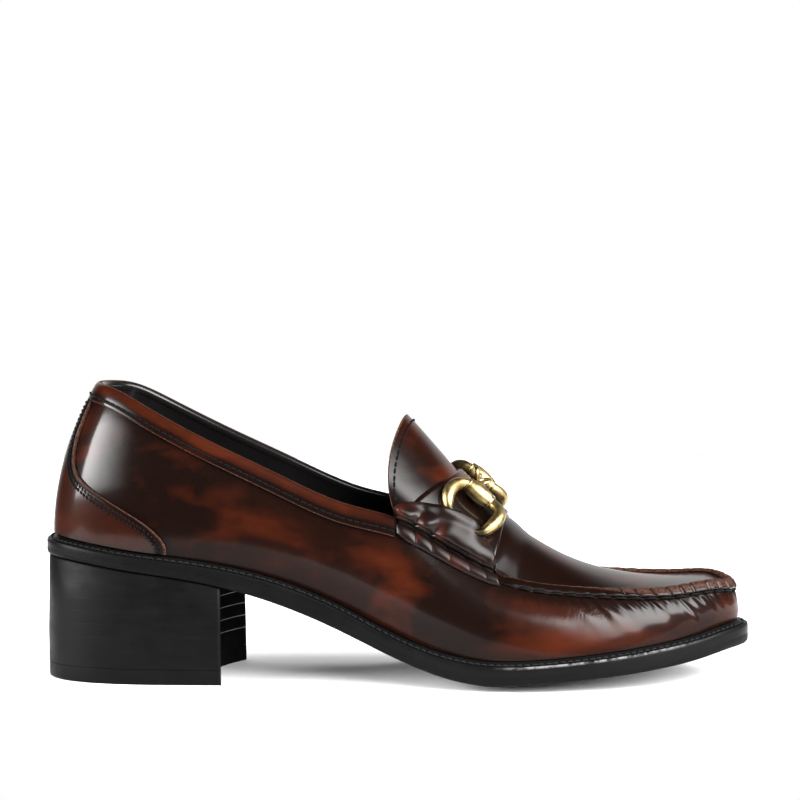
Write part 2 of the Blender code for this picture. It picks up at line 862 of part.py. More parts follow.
def build_bit(side, name, look):
    points, radii = ring_path(side)
    ring = loop_tube(name, points, radii, look)
    barrel = points[0]
    mirror, spare = ring_path(-side)
    place = RING_TABLE[0][0]
    centre = arch_point(place, 0.5) + arch_normal(place, 0.5) * EYE_LIFT
    across = (mirror[0] - barrel).normalized()
    eye = centre - across * (EYE_RADIUS - EYE_WIRE - GAP)
    slope = (points[1] - points[-1]).normalized()
    rise = slope.cross(across).normalized()
    first = (slope + rise).normalized()
    circle = []
    for k in range(12):
        angle = 2 * math.pi * k / 12
        circle.append(eye + (across * math.cos(angle) + first * math.sin(angle)) * EYE_RADIUS)
    eye_ring = loop_tube(name + "_eye", circle, [EYE_WIRE] * 12, look, sides=6)
    start = barrel
    end = eye - across * (EYE_RADIUS - 0.0002)
    arm = [start.lerp(end, t) for t in (0.0, 0.35, 0.75, 1.0)]
    arm_tube = tube(name + "_arm", arm, [ARM_RADIUS, ARM_RADIUS, 0.0013, 0.0008], look, closed=False)
    boolean(ring, arm_tube, "UNION")
    boolean(ring, eye_ring, "UNION")
    return ring


def cut_tunnel(tab, side, look):
    points, radii = ring_path(side)
    cutter = loop_tube("tunnel", points, [r + 0.00035 for r in radii], look)
    boolean(tab, cutter, "DIFFERENCE")


def clear_scene():
    for obj in list(bpy.data.objects):
        bpy.data.objects.remove(obj, do_unlink=True)


def build_all():
    clear_scene()
    leather = ((0.085, 0.028, 0.020), 0.35, 0.0)
    dark = ((0.018, 0.015, 0.014), 0.45, 0.0)
    brass = ((0.36, 0.27, 0.12), 0.35, 1.0)
    lining = ((0.030, 0.028, 0.028), 0.4, 0.0)
    build_outsole(dark)
    build_welt(dark)
    build_heel(dark)
    build_top_lift(dark)
    build_insole(lining)
    build_upper(leather)
    build_band(leather)
    build_counter(leather)
    build_saddle(leather)
    for side, word in ((-1, "lateral"), (1, "medial")):
        tab = build_tab("tab_" + word, leather, side)
        cut_tunnel(tab, side, brass)
        build_bit(side, "bit_" + word, brass)


build_all()
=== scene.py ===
"""Looks of the loafer pump: glossy brushed leather, gathered seam, stitches, welt and bit.

Every surface is worked out from the same sizes and section tables as the solids, on a finer
grid, and then gets its creases, stitches and finish. Lengths are in metres unless a name ends
in _mm. A ring place u runs round the shoe: 0 at the heel, SECTIONS at the toe along the lateral
side, and back to RING along the medial side.
"""

import math

import bmesh
import bpy
import numpy as np
from bpy.props import FloatProperty, FloatVectorProperty, PointerProperty
from mathutils import Matrix, Vector


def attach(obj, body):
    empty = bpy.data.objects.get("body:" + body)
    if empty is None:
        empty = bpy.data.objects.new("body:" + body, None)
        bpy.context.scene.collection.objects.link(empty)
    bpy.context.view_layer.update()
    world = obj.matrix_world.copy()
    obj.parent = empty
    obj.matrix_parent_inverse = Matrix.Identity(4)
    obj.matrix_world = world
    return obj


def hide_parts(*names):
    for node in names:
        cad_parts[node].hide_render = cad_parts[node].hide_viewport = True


bl_info = {
    "name": "Loafer pump looks",
    "version": (1, 0, 0),
    "blender": (4, 5, 0),
    "location": "3D View > Sidebar > Loafer",
    "description": "Builds the visible leather, stitches, sole, heel and bit of a loafer pump",
    "category": "Object",
}

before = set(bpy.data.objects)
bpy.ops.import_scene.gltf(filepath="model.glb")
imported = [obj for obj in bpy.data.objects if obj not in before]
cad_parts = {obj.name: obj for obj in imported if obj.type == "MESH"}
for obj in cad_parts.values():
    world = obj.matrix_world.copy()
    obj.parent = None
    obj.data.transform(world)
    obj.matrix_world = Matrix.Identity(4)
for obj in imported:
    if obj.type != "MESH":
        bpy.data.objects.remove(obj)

# Sizes of the shoe, as in the solids
LENGTH = 0.262
BALL_WIDTH = 0.086
HEEL_HEIGHT = 0.046
TOE_SPRING = 0.0125
SOLE_EDGE = 0.0072
BACK_HEIGHT = 0.056
LEATHER = 0.0018
GAP = 0.0003
BACK_X = -0.0355
OUTSOLE_SHARE = 0.46
TREAD_CROWN = 0.0030
WELT_WIDTH_MM = 5.6
WELT_BEVEL = 0.0016
FEATHER_INSET = 0.0038
INSOLE_RISE = 0.0015
LIFT_HEIGHT = 0.0055
HEEL_LENGTH = 0.070
BREAST_CURVE = 0.0085
SEAM_STEP = 0.0012
SEAM_WIDTH = 0.0024
SEAM_BULGE = 0.0011
SEAM_START = 8.80
BAND_WIDTH = 0.0070
COUNTER_THICKNESS = 0.0010
SADDLE_THICKNESS = 0.0014
TONGUE_BOW = 0.0036
RING_WIRE = 0.0021
EYE_RADIUS = 0.0023
EYE_WIRE = 0.0008
EYE_LIFT = 0.0048
MEDIAL_BIT_BACK = 0.12


def columns(names, rows):
    """Columns of a table under their names."""
    return dict(zip(names.split(), zip(*rows)))


# Sole, one row for each section from heel to toe
SOLE = columns("along lateral medial rise spring stack", (
    (0.0000, 0.000, 0.000, 1.000, 0.00, 0.78),
    (0.0153, 0.169, 0.169, 0.998, 0.00, 0.78),
    (0.0611, 0.291, 0.291, 0.976, 0.00, 0.75),
    (0.1336, 0.349, 0.347, 0.913, 0.00, 0.75),
    (0.2252, 0.360, 0.351, 0.835, 0.00, 0.82),
    (0.3244, 0.356, 0.314, 0.693, 0.00, 0.99),
    (0.4275, 0.368, 0.308, 0.463, 0.00, 1.07),
    (0.5305, 0.429, 0.368, 0.202, 0.00, 0.96),
    (0.6298, 0.499, 0.454, 0.050, 0.02, 1.00),
    (0.7214, 0.517, 0.484, 0.000, 0.27, 0.93),
    (0.8053, 0.478, 0.460, 0.000, 0.42, 0.95),
    (0.8740, 0.405, 0.402, 0.000, 0.58, 0.99),
    (0.9313, 0.303, 0.312, 0.000, 0.77, 1.00),
    (0.9733, 0.178, 0.180, 0.000, 0.95, 1.02),
    (1.0000, 0.000, 0.000, 0.000, 1.01, 1.02),
))

# Top edge of the wall on the same sections
WALL = columns("along lateral medial height bulge", (
    (0.0821, 0.000, 0.000, 1.000, 0.071),
    (0.0954, 0.122, 0.122, 0.996, 0.071),
    (0.1260, 0.212, 0.212, 0.977, 0.071),
    (0.1794, 0.265, 0.265, 0.893, 0.068),
    (0.2557, 0.291, 0.288, 0.763, 0.060),
    (0.3435, 0.304, 0.296, 0.663, 0.055),
    (0.4351, 0.320, 0.310, 0.655, 0.055),
    (0.5153, 0.331, 0.324, 0.780, 0.072),
    (0.5897, 0.334, 0.330, 0.688, 0.080),
    (0.6679, 0.337, 0.335, 0.505, 0.072),
    (0.7519, 0.333, 0.331, 0.407, 0.055),
    (0.8282, 0.317, 0.316, 0.352, 0.044),
    (0.8931, 0.272, 0.274, 0.318, 0.034),
    (0.9466, 0.172, 0.176, 0.300, 0.028),
    (0.9740, 0.000, 0.000, 0.256, 0.025),
))

# Crest of the tongue and vamp on sections 7 to 14
CREST = columns("along height arch", (
    (0.5210, 0.635, 1.08),
    (0.6031, 0.398, 1.15),
    (0.6832, 0.257, 1.40),
    (0.7595, 0.123, 1.70),
    (0.8321, 0.050, 2.00),
    (0.8950, 0.020, 2.00),
    (0.9440, 0.000, 2.00),
    (0.9640, 0.000, 2.00),
))

# Front edge of the counter, from the foot of the wall to the collar band
COUNTER = columns("height section", (
    (0.00, 3.62),
    (0.08, 3.59),
    (0.16, 3.46),
    (0.24, 3.22),
    (0.31, 2.80),
    (0.37, 2.24),
    (0.43, 1.70),
    (0.51, 1.30),
    (0.62, 1.06),
    (0.75, 0.92),
    (1.00, 0.77),
))

# Upper edge of a tab along the seam
TAB_SHAPE = columns("section share", (
    (7.02, 0.32),
    (7.22, 0.56),
    (7.50, 0.76),
    (7.75, 0.86),
    (8.02, 0.92),
    (8.25, 0.90),
    (8.45, 0.76),
    (8.62, 0.52),
    (8.76, 0.28),
))

# Centre line round a ring
RING_LINE = columns("section across lift wire", (
    (8.16, 0.324, 0.0056, 0.80),
    (8.33, 0.324, 0.0058, 0.80),
    (8.47, 0.308, 0.0066, 0.88),
    (8.54, 0.269, 0.0068, 1.00),
    (8.49, 0.210, 0.0056, 0.98),
    (8.34, 0.152, 0.0042, 0.60),
    (8.08, 0.137, 0.0041, 0.57),
    (7.87, 0.155, 0.0042, 0.65),
    (7.79, 0.211, 0.0044, 1.00),
    (7.82, 0.268, 0.0044, 1.00),
    (7.90, 0.307, 0.0048, 0.90),
    (8.00, 0.322, 0.0053, 0.80),
))

# Creases of the gathered wall under the seam: section where it starts, length_mm down the wall,
# slant_mm towards the toe, depth_mm, width_mm
CREASES = (
    (9.20, 6.0, -1.0, 0.16, 0.9),
    (9.38, 8.0, -1.5, 0.14, 1.0),
    (9.58, 5.0, 0.5, 0.20, 0.8),
    (9.74, 4.0, 0.5, 0.22, 0.7),
    (9.92, 5.0, 0.6, 0.18, 0.8),
    (10.06, 7.0, 0.8, 0.28, 0.9),
    (10.24, 9.0, 2.2, 0.34, 1.1),
    (10.42, 5.0, 1.0, 0.22, 0.8),
    (10.55, 8.0, 2.4, 0.34, 1.0),
    (10.76, 6.0, 2.2, 0.36, 0.8),
    (10.94, 6.0, 2.5, 0.38, 0.8),
    (11.14, 6.0, 2.6, 0.38, 0.8),
    (11.36, 6.5, 2.8, 0.40, 0.8),
    (11.58, 4.5, 2.0, 0.34, 0.7),
    (11.80, 4.0, 1.6, 0.32, 0.7),
    (12.02, 9.5, 4.6, 0.36, 0.8),
    (12.28, 5.0, 2.2, 0.32, 0.7),
    (12.50, 5.5, 2.8, 0.36, 0.8),
    (12.74, 8.5, 3.6, 0.38, 0.8),
    (13.02, 6.5, 2.4, 0.34, 0.8),
    (13.34, 5.0, 1.4, 0.30, 0.8),
    (13.72, 4.5, 0.6, 0.28, 0.8),
)

# Broad soft hollows and swells of the wall: section, below_mm, width_mm, length_mm, depth_mm
SWELLS = (
    (9.50, 9.0, 4.0, 6.0, -0.16),
    (9.86, 9.0, 2.6, 7.0, 0.12),
    (10.12, 9.0, 2.2, 6.0, -0.16),
    (10.38, 9.0, 2.8, 7.0, 0.14),
    (10.62, 8.5, 2.4, 6.0, -0.14),
    (10.95, 9.0, 3.4, 6.0, 0.10),
    (11.35, 8.0, 2.6, 6.0, -0.12),
    (11.72, 8.5, 3.0, 6.0, 0.08),
    (12.15, 8.5, 2.4, 6.0, -0.12),
    (12.62, 8.0, 2.6, 6.0, 0.08),
)

# Folds of a tab at its stitches: section, lean per mm upwards, reach_mm, share of the depth
TAB_FOLDS = (
    (7.33, 0.026, 11.0, 0.85),
    (7.63, 0.028, 10.0, 0.75),
    (7.94, 0.020, 4.5, 0.34),
    (8.28, 0.015, 4.0, 0.28),
    (8.56, 0.010, 4.0, 0.28),
)

# Rubbed places of a tab: strength, section, half width, mm above the seam, half height_mm
TAB_RUBS = (
    (1.00, 7.13, 0.08, 3.2, 3.0),
    (0.95, 7.48, 0.07, 3.2, 3.0),
    (0.90, 7.80, 0.08, 3.2, 3.0),
    (0.80, 7.36, 0.07, -3.4, 1.8),
    (0.60, 7.98, 0.15, -5.2, 1.4),
)

# Places that a tab's softened lift is averaged over: along, up, share
TAB_SOFTNESS = ((0, 0, 0.24), (-1, 0, 0.12), (1, 0, 0.12), (0, -1, 0.12), (0, 1, 0.12),
                (-1, -1, 0.07), (-1, 1, 0.07), (1, -1, 0.07), (1, 1, 0.07))
TAB_FROM, TAB_TO = 7.0, 8.785
TAB_TOP_MM, TAB_LOW_MM = 14.3, -7.1

# Round the collar band, from its lower edge over the top to the lining: mm below the top edge,
# mm out of the wall
BAND_PROFILE = ((0.4, 0.10), (7.0, 0.10), (7.12, 0.55), (7.04, 1.00), (6.7, 1.16), (5.9, 1.22),
                (5.2, 1.14), (4.6, 1.22), (3.2, 1.30), (1.6, 1.28), (0.7, 1.12), (0.1, 0.75),
                (-0.25, 0.1), (-0.38, -0.45), (-0.40, -0.75), (-0.30, -1.6), (0.2, -2.25),
                (1.2, -2.45), (2.2, -2.40))
BAND_LINING_FROM = 14

# Round the welt: inset_mm, share of the height, share of the bevel
WELT_PROFILE = ((0.75, -0.02, 0.0), (0.0, -0.02, 0.0), (0.0, 0.0, 0.0), (0.0, 0.45, 0.0),
                (0.02, 0.74, 0.0), (0.22, 0.96, 0.02), (0.42, 1.0, 0.08), (1.0, 1.0, 0.22),
                (1.6, 1.0, 0.36), (2.0, 1.0, 0.44), (2.6, 1.0, 0.60), (3.2, 1.0, 0.80),
                (3.7, 1.0, 0.98), (WELT_WIDTH_MM, 1.0, 1.0), (WELT_WIDTH_MM, 0.0, 0.0))

# Up the side of a plate: inset in metres, share of the height
OUTSOLE_EDGE = ((0.0016, 0.0), (0.0007, 0.05), (0.0002, 0.20), (0.0, 0.45), (0.0, 0.80),
                (0.00002, 0.93), (0.00002, 0.99), (0.00002, 1.0))
INSOLE_INSET = FEATHER_INSET + LEATHER + GAP
INSOLE_EDGE = ((INSOLE_INSET, 0.0), (INSOLE_INSET, 0.75), (INSOLE_INSET + 0.0003, 0.93),
               (INSOLE_INSET + 0.0012, 1.0))
HEEL_EDGE = ((0.00001, 0.0), (0.00001, 0.004), (0.0, 0.02), (0.0, 0.3), (0.0004, 0.6),
             (0.0008, 0.985), (0.0012, 1.0))
LIFT_EDGE = ((0.0006, 0.0), (0.0001, 0.06), (0.0, 0.2), (0.0, 0.96), (0.0, 1.0))

# Barrel of the bit: mm along it, radius_mm, darkness, which is painted shade on its end faces and
# partly patina, partly painted shade in its grooves
BARREL = ((-5.5, 0.2, 0.9), (-5.5, 2.4, 0.7), (-5.38, 2.72, 0.2), (-5.1, 2.80, 0.0),
          (-4.85, 2.76, 0.5), (-4.6, 2.80, 0.6), (-3.2, 3.12, 0.0), (-1.6, 3.33, 0.0),
          (0.0, 3.40, 0.0), (1.6, 3.33, 0.0), (3.2, 3.12, 0.0), (4.6, 2.80, 0.6),
          (4.85, 2.76, 0.5), (5.1, 2.80, 0.0), (5.38, 2.72, 0.2), (5.5, 2.4, 0.7), (5.5, 0.2, 0.9))
COLLAR_AT_MM = 5.9
ARM = columns("along radius_mm", ((0, 1.2), (0.45, 1.15), (0.5, 1.45), (0.56, 1.45), (0.66, 1.05),
                                  (1.0, 0.8)))

# Rows of stitches: pitch, length, radius of the thread, depth of its ends
TONGUE_STITCH = (0.0026, 0.0023, 0.00042, 0.00010)
SEAM_STITCH = (0.0056, 0.0045, 0.00042, -0.00002)
COLLAR_STITCH = (0.0026, 0.0022, 0.00036, 0.00006)
COUNTER_STITCH = (0.0017, 0.0014, 0.00042, 0.00004)
WELT_STITCH = (0.0026, 0.0021, 0.00036, 0.00002)
STITCH_JITTER = 0.06
TONGUE_STITCH_AT = 0.092
SEAM_STITCH_BELOW = 0.0042
COLLAR_STITCH_BELOW = 0.0052
COLLAR_STITCH_OUT = 0.00114
WELT_STITCH_INSET = 0.0018
STITCH_INSETS_MM = (1.8, 3.2)

# Raised seam: how far its pinches draw it in, their half width, and where they begin
PINCH_DEPTH = 0.42
PINCH_WIDTH_MM = 0.55
PINCH_FROM = (9.9, 11.0)
GROOVE_BELOW_MM = 4.3

# Lifts of the heel block, whose joints show as fine lines with a painted glint
LIFT_JOINT_Z = 0.0107
LIFT_PITCH = 0.00475

# Floor as left, right, near and far edge, and the softboxes as name, place, aim, size and the
# share of the left, right, lower and upper part that falls off to dark
FLOOR = (-0.34, 0.45, -0.15, 0.8)
LIGHTS = (
    ("top_light", (0.1, 0.35, 1.9), (0.10, 0.0, 0.05), (2.6, 2.2), ()),
    ("toe_light", (1.08, -0.64, 0.68), (0.19, 0.0, 0.03), (2.2, 1.15), (0.22, 0.30, 0.12, 0.30)),
    ("heel_light", (-1.015, -0.67, 0.40), (-0.02, 0.0, 0.05), (1.45, 0.75),
     (0.03, 0.85, 0.15, 0.20)),
)
# Window behind the shoe, seen in reflections only: direction, where it starts and ends, strengths
WINDOW = (("Y", 0.55, 0.88, 0.02, 0.90), ("Z", 0.30, 0.70, 1.0, 0.06),
          ("X", -0.75, -0.35, 0.15, 1.0))

# Rows and columns of the grids at full fineness
WALL_FRONT, WALL_BACK, WALL_LOW, WALL_NEAR = 520, 230, 34, 18
APRON_GRID = (280, 112)
LINING_GRID = (168, 18)
APRON_LINING_GRID = (70, 48)
RIM_GRID = (120, 9)
BAND_COLUMNS = 300
COUNTER_GRID = (120, 200)
SADDLE_GRID = (120, 60)
TAB_ROWS = 150
WELT_COLUMNS = 420
OUTSOLE_GRID = (170, 40)
INSOLE_GRID = (120, 24)
HEEL_GRID = (90, 40)
WIRE_COLUMNS = 140

SECTIONS = len(SOLE["along"]) - 1
RING = 2 * SECTIONS
CORNER = 7
NUDGE = 0.02
WELD = 1e-6
UP = np.array([0.0, 0.0, 1.0])
RIDGE_OUT = SEAM_BULGE + 0.00015


def spline(values, closed=False):
    """Smooth curve through values at 0, 1, 2 and so on; the curve takes numbers or arrays."""
    values = np.asarray(values, dtype=float)
    count = len(values)
    matrix = np.zeros((count, count))
    right = np.zeros(count)
    for i in range(count):
        if closed or 0 < i < count - 1:
            matrix[i, (i - 1) % count] += 1.0
            matrix[i, i] += 4.0
            matrix[i, (i + 1) % count] += 1.0
            right[i] = 3.0 * (values[(i + 1) % count] - values[(i - 1) % count])
        else:
            near = 1 if i == 0 else count - 2
            matrix[i, i] = 2.0
            matrix[i, near] = 1.0
            right[i] = 3.0 * (values[near] - values[i]) * (1 if i == 0 else -1)
    slopes = np.linalg.solve(matrix, right)

    def curve(t):
        t = np.asarray(t, dtype=float)
        t = np.mod(t, count) if closed else np.clip(t, 0.0, count - 1.0)
        i = np.minimum(t.astype(int), count - 1 if closed else count - 2)
        f = t - i
        j = (i + 1) % count
        return ((1 + 2 * f) * (1 - f) ** 2 * values[i] + f * (1 - f) ** 2 * slopes[i] +
                f * f * (3 - 2 * f) * values[j] + f * f * (f - 1) * slopes[j])

    return curve


def around(lateral, medial=None):
    """Closed curve over the sections, forward on the lateral side and back on the medial."""
    medial = lateral if medial is None else medial
    return spline(np.concatenate([lateral, medial[-2:0:-1]]), closed=True)


def plan_curves(table):
    x = BACK_X + LENGTH * np.array(table["along"])
    lateral, medial = np.array(table["lateral"]), np.array(table["medial"])
    return around(x), around(-BALL_WIDTH * lateral, BALL_WIDTH * medial)


def step(low, high, value):
    """Smooth rise from 0 at low to 1 at high."""
    t = np.clip((np.asarray(value, dtype=float) - low) / (high - low), 0.0, 1.0)
    return t * t * (3 - 2 * t)


def fade(low, high, value):
    """Smooth fall from 1 at low to 0 at high."""
    return 1 - step(low, high, value)


def bell(value, centre, width):
    return np.exp(-((value - centre) / width) ** 2)


def decay(value, reach):
    """1 up to zero, then falling away."""
    return np.exp(-np.maximum(value, 0) / reach)


def quarter_round(t):
    """Rise from 0 to 1 like the side of a circle."""
    return np.sqrt(1 - (1 - t) ** 2)


def mix(a, b, t):
    return a + (b - a) * t


def vec(x, y, z):
    return np.stack(np.broadcast_arrays(x, y, z), axis=-1).astype(float)


def unit(v):
    return v / np.maximum(np.linalg.norm(v, axis=-1, keepdims=True), 1e-12)


def dot(a, b):
    return np.sum(a * b, axis=-1)


def turned(vectors, wrong_way):
    """Vectors, with those turned round that point the wrong way."""
    return np.where(wrong_way[..., None], -vectors, vectors)


def distance_along(points):
    return np.concatenate([[0.0], np.cumsum(np.linalg.norm(np.diff(points, axis=0), axis=1))])


def interpolate(place, run, points):
    return np.stack([np.interp(place, run, points[:, k]) for k in range(3)], axis=-1)


OUTLINE_X, OUTLINE_Y = plan_curves(SOLE)
TOP_X, TOP_Y = plan_curves(WALL)
TOP_HEIGHT, BULGE = around(WALL["height"]), around(WALL["bulge"])
CREST_X, CREST_HEIGHT, CREST_ARCH = (spline(CREST[k]) for k in ("along", "height", "arch"))
SAMPLES = np.linspace(0, SECTIONS, 401)
SAMPLE_X = np.maximum.accumulate(OUTLINE_X(SAMPLES))
RISE, SPRING, STACK = (spline(SOLE[k])(SAMPLES) for k in ("rise", "spring", "stack"))
BREAST_X = BACK_X + HEEL_LENGTH
GATHERS_MM = np.cumsum(np.random.default_rng(3).uniform(4.4, 6.6, 80))
GATHERS_MM = GATHERS_MM[GATHERS_MM < 200]


def under_edge(x):
    return np.interp(x, SAMPLE_X, HEEL_HEIGHT * RISE + TOE_SPRING * SPRING)


def stack_height(x):
    return np.interp(x, SAMPLE_X, SOLE_EDGE * STACK)


def welt_edge(x):
    return under_edge(x) + stack_height(x)


def outsole_top(x):
    return under_edge(x) + OUTSOLE_SHARE * stack_height(x)


def tread(x, across):
    """Height of the tread; across is -1 and 1 at its edges."""
    toe = BACK_X + LENGTH
    crown = TREAD_CROWN * step(BREAST_X - 0.002, BREAST_X + 0.050, x)
    crown = crown * fade(toe - 0.045, toe - 0.003, x)
    return np.maximum(under_edge(x) - crown * (1 - across * across), 0.0)


def plan_normal(curve_x, curve_y, u):
    """Inward normal of a closed plan curve at ring place u."""
    tx = curve_x(u + NUDGE) - curve_x(u - NUDGE)
    ty = curve_y(u + NUDGE) - curve_y(u - NUDGE)
    size = np.hypot(tx, ty)
    return vec(-ty / size, tx / size, 0.0)


def outline(u, inset=0.0):
    inset = np.asarray(inset, dtype=float)[..., None]
    return vec(OUTLINE_X(u), OUTLINE_Y(u), 0.0) + plan_normal(OUTLINE_X, OUTLINE_Y, u) * inset


def foot_point(u, inset=FEATHER_INSET):
    p = outline(u, inset)
    p[..., 2] = welt_edge(p[..., 0]) + WELT_BEVEL + GAP
    return p


def section_of(u):
    """Ring place folded onto the lateral side."""
    u = np.mod(u, RING)
    return np.minimum(u, RING - u)


def on_side(side, u):
    """Ring place of a lateral one on the side -1, lateral, or 1, medial."""
    return u if side < 0 else RING - u


def side_word(side):
    return "lateral" if side < 0 else "medial"


def seam_raise(u):
    return step(SEAM_START, SEAM_START + 0.34, section_of(u))


def top_point(u):
    return vec(TOP_X(u), TOP_Y(u), foot_point(u)[..., 2] + BACK_HEIGHT * TOP_HEIGHT(u))


def seam_inward(u):
    return plan_normal(TOP_X, TOP_Y, u)


def wall_point(u, v):
    """Point of the wall's outside, v from its foot (0) to its top edge (1)."""
    foot = foot_point(u)
    chord = top_point(u) - foot
    out = unit(np.cross(foot_point(u + NUDGE) - foot_point(u - NUDGE), chord))
    out = turned(out, dot(out, seam_inward(u)) > 0)
    v = np.asarray(v)[..., None]
    return foot + chord * v + out * (BACK_HEIGHT * BULGE(u)[..., None] * 4 * v * (1 - v))


def wall_normal(u, v):
    across = wall_point(u, np.minimum(v + NUDGE, 1.0)) - wall_point(u, np.maximum(v - NUDGE, 0.0))
    out = unit(np.cross(wall_point(u + NUDGE, v) - wall_point(u - NUDGE, v), across))
    return turned(out, dot(out, seam_inward(u)) > 0)


def wall_length(u):
    return np.linalg.norm(top_point(u) - foot_point(u), axis=-1)


def arch_edge(u):
    e = seam_raise(u)[..., None]
    inward = seam_inward(u) * mix(0.0005, SEAM_WIDTH, e)
    return top_point(u) + inward + UP * mix(0.0010, -SEAM_STEP, e)


def arch_point(u, w):
    """Vamp, apron and tongue: w runs from the lateral seam (0) over the crest to the medial (1)."""
    u, w = np.broadcast_arrays(np.asarray(u, dtype=float), np.asarray(w, dtype=float))
    a = arch_edge(u)
    b = arch_edge(RING - u)
    middle = 0.5 * (a + b)
    t = u - CORNER
    seam_z = 0.5 * (top_point(u)[..., 2] + top_point(RING - u)[..., 2]) - SEAM_STEP * seam_raise(u)
    crest_z = seam_z + BACK_HEIGHT * CREST_HEIGHT(t)
    crest_x = BACK_X + LENGTH * CREST_X(t)
    q = np.sin(math.pi * w)
    base = a + (b - a) * (0.5 * (1 - np.cos(math.pi * w)))[..., None]
    bow = TONGUE_BOW * 4 * q * (1 - q) * fade(CORNER, CORNER + 1.0, u)
    keep = fade(SECTIONS - 1.2, SECTIONS, u)
    x = base[..., 0] + (crest_x - middle[..., 0]) * q * keep - bow
    z = base[..., 2] + (crest_z - middle[..., 2]) * np.maximum(q, 0) ** CREST_ARCH(t) * keep
    return vec(x, base[..., 1], z)


def arch_normal(u, w):
    w = np.clip(w, 0.03, 0.97)
    u = np.minimum(u, SECTIONS - 0.25)
    along = arch_point(u + NUDGE, w) - arch_point(np.maximum(u - NUDGE, CORNER), w)
    out = unit(np.cross(along, arch_point(u, w + 0.01) - arch_point(u, w - 0.01)))
    return turned(out, out[..., 2] < 0)


def skin_line(u, reaches):
    """Points and normals of the bare skin across the seam at ring place u, for many reaches."""
    medial = u > SECTIONS
    front = RING - u if medial else u
    reaches = np.asarray(reaches, dtype=float)
    length = float(wall_length(np.array(u)))
    w = np.linspace(0.0, 0.5, 161)
    w = 1 - w if medial else w
    path = np.vstack([top_point(np.array(float(u)))[None], arch_point(np.full(w.shape, front), w)])
    run = distance_along(path)
    up = np.maximum(reaches, 0.0)
    w_of = np.interp(up, run, np.concatenate([[w[0]], w]))
    arch_n = arch_normal(np.full(w_of.shape, front), w_of)
    v = 1 + np.minimum(reaches, 0.0) / length
    places = np.full(v.shape, float(u))
    wall_n = wall_normal(places, np.minimum(v, 1 - 0.003 / length))
    blend = 0.5 * step(-0.004, 0.0, reaches) + 0.5 * step(0, 0.004, reaches)
    normals = unit(wall_n * (1 - blend)[:, None] + arch_n * blend[:, None])
    low = (reaches <= 0)[:, None]
    return np.where(low, wall_point(places, v), interpolate(up, run, path)), normals


def side_run(u):
    """Distance along the top edge from section 7 on each side, and the curve it is read from."""
    sections = np.linspace(CORNER, SECTIONS, 400)
    run = distance_along(top_point(sections))
    return np.interp(section_of(u), sections, run), (sections, run)


class Sheet:
    """A grid of points that becomes faces of a mesh; fields become vertex attributes."""

    def __init__(self, points, slot=0, wrap=False, **fields):
        self.points = np.asarray(points, dtype=float)
        self.slot = slot
        self.wrap = wrap
        self.fields = fields


def add_mesh(name, sheets, finishes, nodes=(), weld=False):
    """One piece from several grids, on the part's only body."""
    verts, faces, slots = [], [], []
    names = sorted({k for s in sheets for k in s.fields})
    values = {k: [] for k in names}
    start = 0
    for sheet in sheets:
        n, m = sheet.points.shape[:2]
        verts.append(sheet.points.reshape(-1, 3))
        ids = np.arange(n * m).reshape(n, m) + start
        if sheet.wrap:
            ids = np.vstack([ids, ids[:1]])
        corners = (ids[:-1, :-1], ids[1:, :-1], ids[1:, 1:], ids[:-1, 1:])
        faces.append(np.stack(corners, axis=-1).reshape(-1, 4))
        slots.append(np.full(len(faces[-1]), sheet.slot))
        for k in names:
            values[k].append(np.broadcast_to(sheet.fields.get(k, 0.0), (n, m)).reshape(-1))
        start += n * m
    verts, faces, slots = (np.concatenate(a) for a in (verts, faces, slots))
    mesh = bpy.data.meshes.new(name)
    mesh.vertices.add(len(verts))
    mesh.vertices.foreach_set("co", verts.astype(np.float32).ravel())
    mesh.loops.add(len(faces) * 4)
    mesh.loops.foreach_set("vertex_index", faces.astype(np.int32).ravel())
    mesh.polygons.add(len(faces))
    mesh.polygons.foreach_set("loop_start", np.arange(0, len(faces) * 4, 4, dtype=np.int32))
    mesh.polygons.foreach_set("material_index", slots.astype(np.int32))
    mesh.update(calc_edges=True)
    for k in names:
        layer = mesh.attributes.new(k, "FLOAT", "POINT")
        layer.data.foreach_set("value", np.concatenate(values[k]).astype(np.float32))
    for key in finishes.split():
        mesh.materials.append(MATERIALS[key])
    obj = bpy.data.objects.new(name, mesh)
    bpy.context.scene.collection.objects.link(obj)
    mesh.polygons.foreach_set("use_smooth", np.ones(len(faces), dtype=bool))
    if weld:
        bm = bmesh.new()
        bm.from_mesh(mesh)
        bmesh.ops.remove_doubles(bm, verts=bm.verts[:], dist=WELD)
        bmesh.ops.recalc_face_normals(bm, faces=bm.faces[:])
        bm.to_mesh(mesh)
        bm.free()
    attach(obj, "root")
    if nodes:
        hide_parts(*nodes)


def strip(a, b, **fields):
    """Strip of faces between two lines of points."""
    return Sheet(np.stack(np.broadcast_arrays(a, b), axis=1), 0, **fields)


def ring_points(centre, first, second, radius, angle):
    """Points of a circle; first and second are unit directions in its plane."""
    return centre + (first * np.cos(angle)[:, None] + second * np.sin(angle)[:, None]) * radius


def tube_grid(points, radii, sides=16, closed=True, normal=None):
    """Grid of a tube along points; a closed one keeps to the loop's own plane."""
    points = np.asarray(points, dtype=float)
    radii = np.broadcast_to(radii, (len(points),))
    if closed:
        way = unit(np.roll(points, -1, 0) - np.roll(points, 1, 0))
    else:
        way = unit(np.gradient(points, axis=0))
    if normal is None:
        centre = points.mean(0)
        normal = unit(np.cross(points - centre, np.roll(points, -1, 0) - centre).sum(0))
    flat = unit(np.cross(way, normal))
    up = np.cross(flat, way)
    angle = np.linspace(0, 2 * math.pi, sides + 1)[None, :, None]
    ring = flat[:, None] * np.cos(angle) + up[:, None] * np.sin(angle)
    return points[:, None] + ring * radii[:, None, None]


